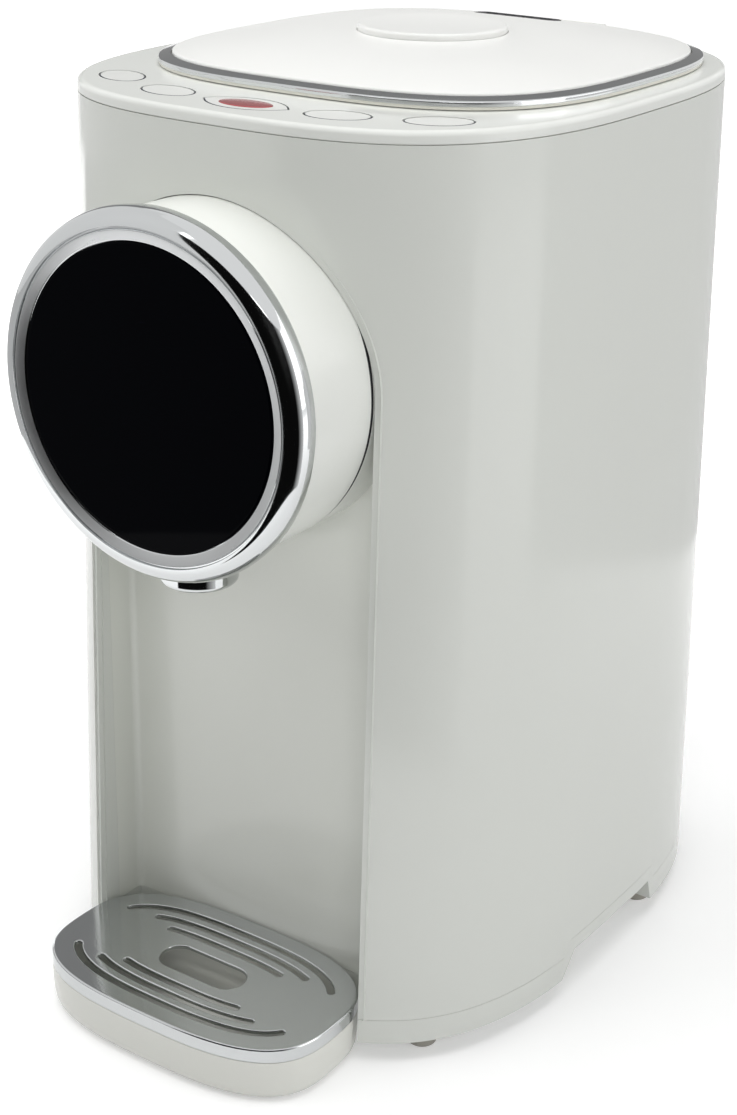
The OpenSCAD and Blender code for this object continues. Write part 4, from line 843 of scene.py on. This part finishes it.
bm = bmesh.new()
first, last = sweep(bm, [lid_ring(z, inset) for inset, z in (
    (0.27, TRIM_SEAT), (0.27, TRIM_FOOT), (0.1, TRIM_FOOT), (0.0, TRIM_FOOT + 0.12), (0.0, TRIM_TOP - 0.65),
    (0.08, TRIM_TOP - 0.35), (0.3, TRIM_TOP - 0.15), (0.6, TRIM_TOP - 0.03), (TRIM_WIDTH - 0.5, TRIM_CREST),
    (TRIM_WIDTH - 0.15, TRIM_CREST - 0.02), (TRIM_WIDTH, TRIM_CREST - 0.3), (TRIM_WIDTH, TRIM_SEAT),
)])
bmesh.ops.bridge_loops(bm, edges=first + last)
make_piece("trim_frame", bm, ["bright_chrome"], "lid", "chrome_trim", "lid_trim")

# %% Rings of the dome between the knob's hole and the trim
KNOB_Y, KNOB_RADIUS = 14.7, 29.0
HOLE, COVER_INSET = KNOB_RADIUS + 0.3, TRIM_WIDTH + 0.3
COVER_SIDE, COVER_DEPTH = LID_SIDE - COVER_INSET, LID_DEPTH - COVER_INSET
COVER_EDGE, CROWN_TOP, CROWN_POWER = TRIM_CREST + 0.7, TRIM_TOP + 8.4, 3.3
COVER_WALL, COVER_ROUND = 2.2, 0.8


def crown_height(x, y):
    """Height of the dome over a point of its plan."""
    power = LID_POWER
    share = (abs(x / COVER_SIDE) ** power + abs((y - LID_SHIFT) / COVER_DEPTH) ** power) ** (1 / power)
    return COVER_EDGE + (CROWN_TOP - COVER_EDGE) * (1 - min(share, 1.0) ** CROWN_POWER)


def dome_ring(share):
    """Ring between the knob's hole at share 0 and the cover's edge at share 1."""
    points = []
    for edge in lid_ring(0, COVER_INSET):
        turn = math.atan2(edge.y - KNOB_Y, edge.x)
        p = Vector((HOLE * math.cos(turn), KNOB_Y + HOLE * math.sin(turn), 0)).lerp(edge, share)
        p.z = crown_height(p.x, p.y)
        points.append(p)
    return points


print("dome rises", round(CROWN_TOP - COVER_EDGE, 2), "over its edge")

# %% Sweep the dome and give it a wall
shares = [0, 0.02, 0.08, 0.16, 0.24, 0.32, 0.4, 0.48, 0.56, 0.64, 0.71, 0.78, 0.84, 0.89, 0.93, 0.96, 0.985, 1]
rows = [dome_ring(s) for s in shares]
rows.append([p - Vector((0, 0, COVER_EDGE - TRIM_LOW - 0.05)) for p in rows[-1]])
bm = bmesh.new()
sweep(bm, rows)
face_along(bm, max(bm.faces, key=lambda f: f.calc_center_median().z), (0, 0, 1))
corner = [e for e in bm.edges if e.is_manifold and all(abs(v.co.z - COVER_EDGE) < 0.001 for v in e.verts)]
soften(bm, corner, COVER_ROUND, 3)
bmesh.ops.solidify(bm, geom=bm.faces, thickness=COVER_WALL)
cover = make_piece("dome", bm, ["lid_white"], "lid", "white_shell", "lid_cover")

# %% [markdown]
# ## The vent slot
# The steam vent is a round-ended plate let into the dome. Its opening is cut with a boolean, because it
# crosses the dome's rows at an angle, and the cut's edge is hidden in the gap round the plate.

# %% Make a cutter for the vent's opening
VENT_Y, VENT_REACH, VENT_RADIUS = 78.0, 15.4, 4.8


def stadium(radius, reach, y, z, steps):
    """Outline of a round-ended opening, with its round ends at a reach from the middle."""
    turns = (math.pi * (k / steps - 0.5) for k in range(steps + 1))
    right = [(reach + radius * math.cos(a), radius * math.sin(a)) for a in turns]
    return [Vector((side * px, y + side * py, z)) for side in (1, -1) for px, py in right]


bm = bmesh.new()
close(bm, *sweep(bm, [stadium(VENT_RADIUS, VENT_REACH, VENT_Y, z, 24) for z in (COVER_EDGE - 4, CROWN_TOP + 4)]))
face_outwards(bm)
bmesh.ops.transform(bm, matrix=TO_FRAME, verts=bm.verts)
cutter = new_object("vent_cutter", bm)
print("vent", 2 * (VENT_REACH + VENT_RADIUS), "by", 2 * VENT_RADIUS)

# %% Cut the opening and keep the result as the dome's mesh
cut = cover.modifiers.new("vent opening", "BOOLEAN")
cut.operation, cut.solver, cut.object = "DIFFERENCE", "EXACT", cutter
cover.modifiers.move(1, 0)
cut_mesh = bpy.data.meshes.new_from_object(cover.evaluated_get(bpy.context.evaluated_depsgraph_get()))
cover.modifiers.clear()
cover.data = cut_mesh
bpy.data.objects.remove(cutter)
print("dome with vent opening", len(cut_mesh.polygons), "faces")

# %% [markdown]
# ## The rim plate and the vent plate
# These two carry many small holes and steps that the CAD has right, and redrawing them would only add
# mistakes. But their curves show flat facets. So each mesh is copied, its coplanar triangles are joined, and
# it is shaded smoothly.


# %% Copy the rim plate and the vent plate
def smooth_copy(name, node, finishes, body, slot):
    """Piece made from a merged copy of a CAD node."""
    bm = bmesh.new()
    bm.from_mesh(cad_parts[node].data)
    bmesh.ops.transform(bm, matrix=TO_FRAME.inverted(), verts=bm.verts)
    merge(bm)
    flat = math.radians(0.5)
    bmesh.ops.dissolve_limit(bm, angle_limit=flat, verts=bm.verts, edges=bm.edges, delimit={"NORMAL"})
    return make_piece(name, bm, finishes, body, slot, node, recalc=False, sharp=30)


smooth_copy("rim_plate", "lid_liner", ["cream_rim"], "lid", "white_trim")
smooth_copy("vent_plate", "steam_vent", ["dark_plastic"], "lid", "grey_plastic")

# %% [markdown]
# ## The press knob
# The knob is a round cap with a top that is barely hollowed for a finger, a flange that keeps it in the lid
# and a stem, all one turned profile. The two legs that work the latch stand off the axis, so they are added
# as blocks with cross pins.

# %% Draw the knob's profile and turn it
knob_low, knob_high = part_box("lid_knob")
KNOB_TOP, STEM_END = knob_high.z / MM, knob_low.z / MM
CEILING, FLANGE_TOP = KNOB_TOP - 3.2, CROWN_TOP - 3.5
KNOB_STEM, KNOB_BORE, KNOB_FLANGE = 5, 27, 30.8
EDGE_ROUND, HOLLOW, HOLLOW_STEPS = 1.2, 0.8, 14
hollow_radius = KNOB_RADIUS - EDGE_ROUND - 0.8
knob_line = [(AXIS, STEM_END), (KNOB_STEM, STEM_END), (KNOB_STEM, CEILING), (KNOB_BORE, CEILING),
             (KNOB_BORE, FLANGE_TOP - 2), (KNOB_FLANGE, FLANGE_TOP - 2), (KNOB_FLANGE, FLANGE_TOP),
             (KNOB_RADIUS, FLANGE_TOP)]
knob_line += [(KNOB_RADIUS - inward, z) for inward, z in quarter(EDGE_ROUND, KNOB_TOP)]
shares = [1 - k / HOLLOW_STEPS for k in range(HOLLOW_STEPS)]
knob_line += [(hollow_radius * s, KNOB_TOP - HOLLOW * (1 - s**2)) for s in shares]
bm = bmesh.new()
turn_upright(bm, knob_line + [(AXIS, KNOB_TOP - HOLLOW)], KNOB_Y, 160)
merge(bm, 0.01)
face_outwards(bm)
print("knob top", round(KNOB_TOP, 2), "stem end", round(STEM_END, 2))

# %% Add the knob's two legs and their pins
LEG_X, LEG_THICK, LEG_WIDE = 9.7, 1.6, 6
PIN_X, PIN_RADIUS, PIN_LENGTH, PIN_HEIGHT = 11.1, 1.2, 4.4, RIM + 1.8
LEG_END = PIN_HEIGHT - 2
for side in (-1, 1):
    block(bm, (LEG_THICK, LEG_WIDE, CEILING - LEG_END), (side * LEG_X, KNOB_Y, (CEILING + LEG_END) / 2))
    rod(bm, (PIN_RADIUS, PIN_RADIUS), PIN_LENGTH, (side * PIN_X, KNOB_Y, PIN_HEIGHT), 24, level=True)
make_piece("press_knob", bm, ["lid_white"], "knob", "white_shell", "lid_knob", recalc=False)

# %% [markdown]
# ## The knob's spring
# A spring pushes the knob up again. Its wire could follow a curve object, but a spin with a little lift at
# each step makes the helix directly from one small circle. A pressed knob shortens the spring towards its
# seat, but this piece rides on the lid at its full length.

# %% Wind the spring
WIRE, COIL_TURNS, COIL_STEPS, KNOB_TRAVEL = 0.6, 7, 7 * 36, 3.0
spring_low, spring_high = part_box("knob_spring")
COIL = (spring_high.x - spring_low.x) / 2 / MM - WIRE
SEAT, SPRING_TALL = spring_low.z / MM, (spring_high.z - spring_low.z) / MM
bm = bmesh.new()
section = bmesh.ops.create_circle(
    bm, cap_ends=True, radius=WIRE, segments=12,
    matrix=Matrix.Translation((COIL, KNOB_Y, SEAT + WIRE)) @ Matrix.Rotation(math.pi / 2, 4, "X"),
)["verts"]
bmesh.ops.spin(
    bm, geom=section + list({f for v in section for f in v.link_faces}), cent=(0, KNOB_Y, 0), axis=(0, 0, 1),
    dvec=(0, 0, (SPRING_TALL - 2 * WIRE) / COIL_STEPS), angle=2 * math.pi * COIL_TURNS, steps=COIL_STEPS,
    use_merge=False,
)
spring = make_piece("knob_coil", bm, ["plated_screw"], "lid", "screw_steel", "knob_spring")
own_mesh(spring)
print("spring", round(SPRING_TALL, 2), "mm tall")

# %% [markdown]
# ## The drip tray
# The tray is a low white dish with a turned-under foot and a tongue that slides into the base. Its wall has
# too many small steps for bevels, so the whole section is drawn as one line, from the underside over the rim
# to the floor inside, and swept round.

# %% Sweep the dish
TRAY_SIDE, TRAY_DEPTH, TRAY_POWER = 64.5, 37.7, 2.94
TRAY_Y = NICHE_BACK - 0.8 - TRAY_DEPTH
TRAY_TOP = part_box("drip_grille")[1].z / MM
DISH_TOP = TRAY_TOP - 5.9
TONGUE, TONGUE_PLACE = (44, 11.6, 3), (0, -92.8, 11.9)


def tray_ring(z, inset):
    return ring(TRAY_SIDE - inset, TRAY_DEPTH - inset, TRAY_POWER, TRAY_Y, z, 288)


foot_line = [(7.0, 0.8), (4.4, 0.8), (3.0, 1.1), (1.9, 1.9), (1.1, 3.1), (0.6, 4.6), (0.35, 6.5), (0.1, 11), (0, 15)]
lip_line = [(0, -0.5), (0.15, -0.12), (0.5, -0.05), (1.9, -0.05), (1.9, 2.3), (2.1, 2.55), (3.0, 2.55), (3.2, 2.3)]
dish_line = foot_line + [(inset, DISH_TOP + up) for inset, up in lip_line]
dish_line += [(3.2, 4.4), (3.9, 3.5), (5.2, 3.2), (8, 3.2)]
bm = bmesh.new()
close(bm, *sweep(bm, [tray_ring(z, inset) for inset, z in dish_line]))
face_outwards(bm)
block(bm, TONGUE, TONGUE_PLACE)
split_large_faces(bm)
make_piece("dish", bm, ["tray_white"], "tray", "white_shell", "drip_tray", recalc=False)

# %% [markdown]
# ## The grille
# Over the dish sits the chrome grille. Its slots run in three rings that follow the plate's outline and stop
# short of the middle, and a round-ended opening sits under the spout. Bevelled cuts would not look pressed,
# so every opening is swept down from a rolled lip.


# %% Outline of one slot
SLOT_HALF, SLOT_STEPS, SEARCH_STEPS = 1.5, 90, 399
SLOT_RINGS = ((9.6, 14.5), (16.0, 16.0), (22.4, 12.1))


def slot_outline(inset, stop, side, z, grow):
    """Closed outline of a slot that stops at a reach from the middle line, on one side of it."""
    a, b, half = TRAY_SIDE - inset, TRAY_DEPTH - inset, SLOT_HALF + grow
    tries = (math.pi / 2 * k / SEARCH_STEPS for k in range(SEARCH_STEPS + 1))
    start = next(t for t in tries if outline_point(a, b, TRAY_POWER, t)[1] >= stop + SLOT_HALF)
    turns = (start + (math.pi - 2 * start) * k / SLOT_STEPS for k in range(SLOT_STEPS + 1))
    spine = [Vector((*outline_point(a, b, TRAY_POWER, t), 0)) for t in turns]
    normals = []
    for k in range(len(spine)):
        along = (spine[min(k + 1, SLOT_STEPS)] - spine[max(k - 1, 0)]).normalized()
        normals.append(Vector((along.y, -along.x, 0)))
    outer, inner = ([p + n * way * half for p, n in zip(spine, normals)] for way in (1, -1))

    def cap(point, normal):
        """Points round one end of the slot."""
        return [point + (Matrix.Rotation(math.radians(d), 3, "Z") @ normal) * half for d in range(20, 180, 20)]

    loop = outer + cap(spine[-1], normals[-1]) + inner[::-1] + cap(spine[0], -normals[0])
    return [Vector((p.x, p.y * side + TRAY_Y, z)) for p in loop]


print("slots", 2 * len(SLOT_RINGS))

# %% Sweep the grille's band, roll the openings' lips down and fill the plate
PLATE, LIP, BAND_ROUND = 1.5, 0.55, 1.0
DRAIN_RADIUS, DRAIN_REACH = 7.8, 12.2
BAND_LOW, PLATE_LOW = DISH_TOP + 0.1, TRAY_TOP - PLATE
band = [(PLATE, BAND_LOW), (0.15, BAND_LOW), (0, DISH_TOP + 0.25)] + quarter(BAND_ROUND, TRAY_TOP)
bm = bmesh.new()
low, top = sweep(bm, [tray_ring(z, inset) for inset, z in band + [(PLATE, TRAY_TOP)]])
inner, under = sweep(bm, [tray_ring(BAND_LOW, PLATE), tray_ring(PLATE_LOW, PLATE)])
openings = [lambda z, grow, row=row, side=side: slot_outline(*row, side, z, grow)
            for row in SLOT_RINGS for side in (1, -1)]
openings.append(lambda z, grow: stadium(DRAIN_RADIUS + grow, DRAIN_REACH, TRAY_Y, z, 20))
for opening in openings:
    lips = [opening(TRAY_TOP - sunk, -grow) for sunk, grow in quarter(LIP, 0, (0, 22, 45, 68, 90))]
    upper, lower = sweep(bm, lips + [opening(PLATE_LOW, 0.0)])
    top, under = top + upper, under + lower
fill_flat(bm, top, 1)
fill_flat(bm, under, -1)
merge(bm)
face_outwards(bm)
make_piece("grille_plate", bm, ["tray_chrome"], "grille", "satin_trim", "drip_grille")

# %% [markdown]
# ## The camera
# The pot is seen from its right front and from above, with a long lens. A constraint could point the camera,
# but would lose its small roll, so its three directions are worked out from yaw, pitch and roll.

# %% Place the camera
CAMERA_PLACE = Vector((0.43816, -0.63945, 0.48831))
YAW, PITCH, ROLL = 0.60278, 0.39900, 0.01522
SENSOR, FOCAL_PIXELS, FRAME_PIXELS = 36, 2044.19, 1115
back = Vector((math.sin(YAW) * math.cos(PITCH), -math.cos(YAW) * math.cos(PITCH), math.sin(PITCH)))
right = Vector((math.cos(YAW), math.sin(YAW), 0))
up = back.cross(right)
turned = (math.cos(ROLL) * right + math.sin(ROLL) * up, math.cos(ROLL) * up - math.sin(ROLL) * right, back)
camera_data = bpy.data.cameras.new("camera")
camera_data.sensor_fit, camera_data.sensor_width = "AUTO", SENSOR
camera_data.lens = SENSOR * FOCAL_PIXELS / FRAME_PIXELS
camera_data.clip_start, camera_data.clip_end = 0.01, 50
camera = bpy.data.objects.new("camera", camera_data)
camera.matrix_world = Matrix.Translation(CAMERA_PLACE) @ Matrix(turned).transposed().to_4x4()
bpy.context.scene.collection.objects.link(camera)
bpy.context.scene.camera = camera
print("lens", round(camera_data.lens, 2))

# %% [markdown]
# ## The studio
# The pot stands on a plain pale floor under large soft lamps. A brighter world would make the background
# white, but also wash out the plastic. So the world is white only to the camera, to glossy rays and to
# glass, and nearly dark to everything else, and the floor glows a little to the same rays.


# %% Give some rays one shader and the rest another
def by_ray(nodes, plain, seen, output):
    """Sends one shader to camera, glossy and transmission rays and a plain one to the rest."""
    path = add(nodes, "LightPath", {}).outputs
    switch = path["Is Camera Ray"]
    for ray in ("Is Glossy Ray", "Is Transmission Ray"):
        either = nodes.new("ShaderNodeMath")
        either.operation = "MAXIMUM"
        switch = dial(either, {0: switch, 1: path[ray]}).outputs["Value"]
    choice = add(nodes, "MixShader", {0: switch, 1: plain, 2: seen})
    dial(nodes[output], {"Surface": choice.outputs["Shader"]})


WHITE = (1, 1, 1, 1)
world = bpy.data.worlds.new("studio")
world.use_nodes = True
bpy.context.scene.world = world
sky = world.node_tree.nodes
dark = dial(sky["Background"], {"Color": WHITE, "Strength": 0.03})
bright = add(sky, "Background", {"Color": WHITE, "Strength": 1.0})
by_ray(sky, dark.outputs["Background"], bright.outputs["Background"], "World Output")
print("world ready")

# %% Lay the floor
FLOOR_GLOW, GLOW_NEAR, GLOW_FAR = 0.29, 0.3, 0.9
bm = bmesh.new()
bmesh.ops.create_grid(bm, x_segments=4, y_segments=4, size=4)
floor = new_object("floor", bm)
paint, nodes, shader = blank_finish("pale_floor")
dial(shader, {"Base Color": (0.85, 0.85, 0.85, 1), "Roughness": 0.9, "Specular IOR Level": 0.1})
reach = nodes.new("ShaderNodeVectorMath")
reach.operation = "LENGTH"
dial(reach, {0: add(nodes, "TexCoord", {}).outputs["Object"]})
fade = add(nodes, "MapRange", {
    "Value": reach.outputs["Value"], "From Min": GLOW_NEAR, "From Max": GLOW_FAR, "To Min": FLOOR_GLOW,
})
glow = add(nodes, "Emission", {"Strength": fade.outputs["Result"]})
plain = shader.outputs["BSDF"]
lifted = add(nodes, "AddShader", {0: plain, 1: glow.outputs["Emission"]})
by_ray(nodes, plain, lifted.outputs["Shader"], "Material Output")
floor.data.materials.append(paint)
print("floor laid")

# %% Hang the soft lamps
LAMP_AIM = Vector((0, 0, 0.2))
LAMPS = {  # place, width, height, power
    "overhead": ((0, 0, 1.7), 1.6, 1.6, 22.2),
    "front_left": ((-1.1, -1.2, 1.3), 1.2, 1.2, 6.7),
    "front_right": ((1.1, -1.5, 1.0), 1.0, 1.0, 9.2),
    "left_side": ((-1.6, 0.1, 0.7), 1.0, 1.2, 9.2),
    "right_side": ((1.6, 0.2, 0.7), 1.0, 1.2, 5.5),
    "right_behind": ((1.5, 1.0, 0.9), 1.2, 1.2, 3.3),
}
for name, (place, width, height, power) in LAMPS.items():
    data = bpy.data.lights.new(name, "AREA")
    data.shape = "RECTANGLE"
    data.size, data.size_y, data.energy = width, height, power
    lamp = bpy.data.objects.new(name, data)
    bpy.context.scene.collection.objects.link(lamp)
    lamp.location = place
    lamp.rotation_euler = (LAMP_AIM - Vector(place)).to_track_quat("-Z", "Y").to_euler()
    # The lid would mirror the overhead lamp as a bare white patch, so glossy rays don't see that one.
    lamp.visible_glossy = name != "overhead"
print("lamps", len(LAMPS))

# %% [markdown]
# ## Cards for the bright metal
# Bright metal only looks like metal when it has dark and light areas to reflect. Bands painted on the metal
# would look wrong from any other side. So a few curved cards stand round the pot, each a standing line spun
# part of the way round. Only glossy rays see them.


# %% Build one card
CARD_CENTRE, CARD_EYE, CARD_LOW = Vector((0, -0.1, 0)), 0.27, 0.002
FADED_GLOW = 0.8


def brighten(nodes, near, far):
    """Strength of a glow that runs evenly from one angle and strength to another."""
    place = add(nodes, "TexCoord", {}).outputs["Object"]
    centred = add(nodes, "Mapping", {"Vector": place, "Location": -CARD_CENTRE})
    compass = add(nodes, "TexGradient", {"Vector": centred.outputs["Vector"]})
    compass.gradient_type = "RADIAL"
    run = add(nodes, "MapRange", {"Value": compass.outputs["Fac"]})
    for end, (angle, strength) in (("Min", near), ("Max", far)):
        dial(run, {"From " + end: 0.25 + angle / 360, "To " + end: strength})
    return run.outputs["Result"]


def arc_card(name, start, stop, low, high, radius, glow, mat=None, fade=None):
    """Curved card between two compass angles and two elevations, with a mat and a fade if asked."""
    outline = [(radius, max(CARD_LOW, CARD_EYE + radius * math.tan(math.radians(e)))) for e in (low, high)]
    outline = [(mat, CARD_LOW)] * bool(mat) + outline
    bm = bmesh.new()
    ends = [bm.verts.new(CARD_CENTRE + Vector((0, -reach, z))) for reach, z in outline]
    line = [bm.edges.new(pair) for pair in zip(ends, ends[1:])]
    bmesh.ops.rotate(bm, verts=ends, cent=CARD_CENTRE, matrix=Matrix.Rotation(math.radians(start), 3, "Z"))
    sweep_angle = math.radians(stop - start)
    bmesh.ops.spin(
        bm, geom=ends + line, cent=CARD_CENTRE, axis=(0, 0, 1), angle=sweep_angle, steps=24, use_merge=False
    )
    card = new_object(name, bm)
    for ray in ("camera", "diffuse", "transmission", "shadow", "volume_scatter"):
        setattr(card, "visible_" + ray, False)
    paint, nodes, shader = blank_finish(name)
    strength = brighten(nodes, (fade, glow), (stop, FADED_GLOW)) if fade else glow
    dial(shader, {"Base Color": (0, 0, 0, 1), "Specular IOR Level": 0,
                  "Emission Color": WHITE, "Emission Strength": strength})
    card.data.materials.append(paint)


# %% Stand up the cards
CARDS = {  # start, stop, low, high, radius, glow, mat, fade
    "card_front": (-25, 84, -26, 35, 0.55, 0.004, 0.32, 56),
    "card_left": (-105, -25, -26, -3, 0.56, 0.6),
    "card_behind": (-175, -112, 6, 45, 1.0, 0.28),
    "card_high": (-115, -25, -3, 62, 0.58, 0.88),
    "card_right": (118, 185, -25, 4, 0.6, 0.76),
}
for name, card in CARDS.items():
    arc_card(name, *card)
print("cards", len(CARDS))

# %% Standard view
bpy.context.scene.view_settings.view_transform = "Standard"
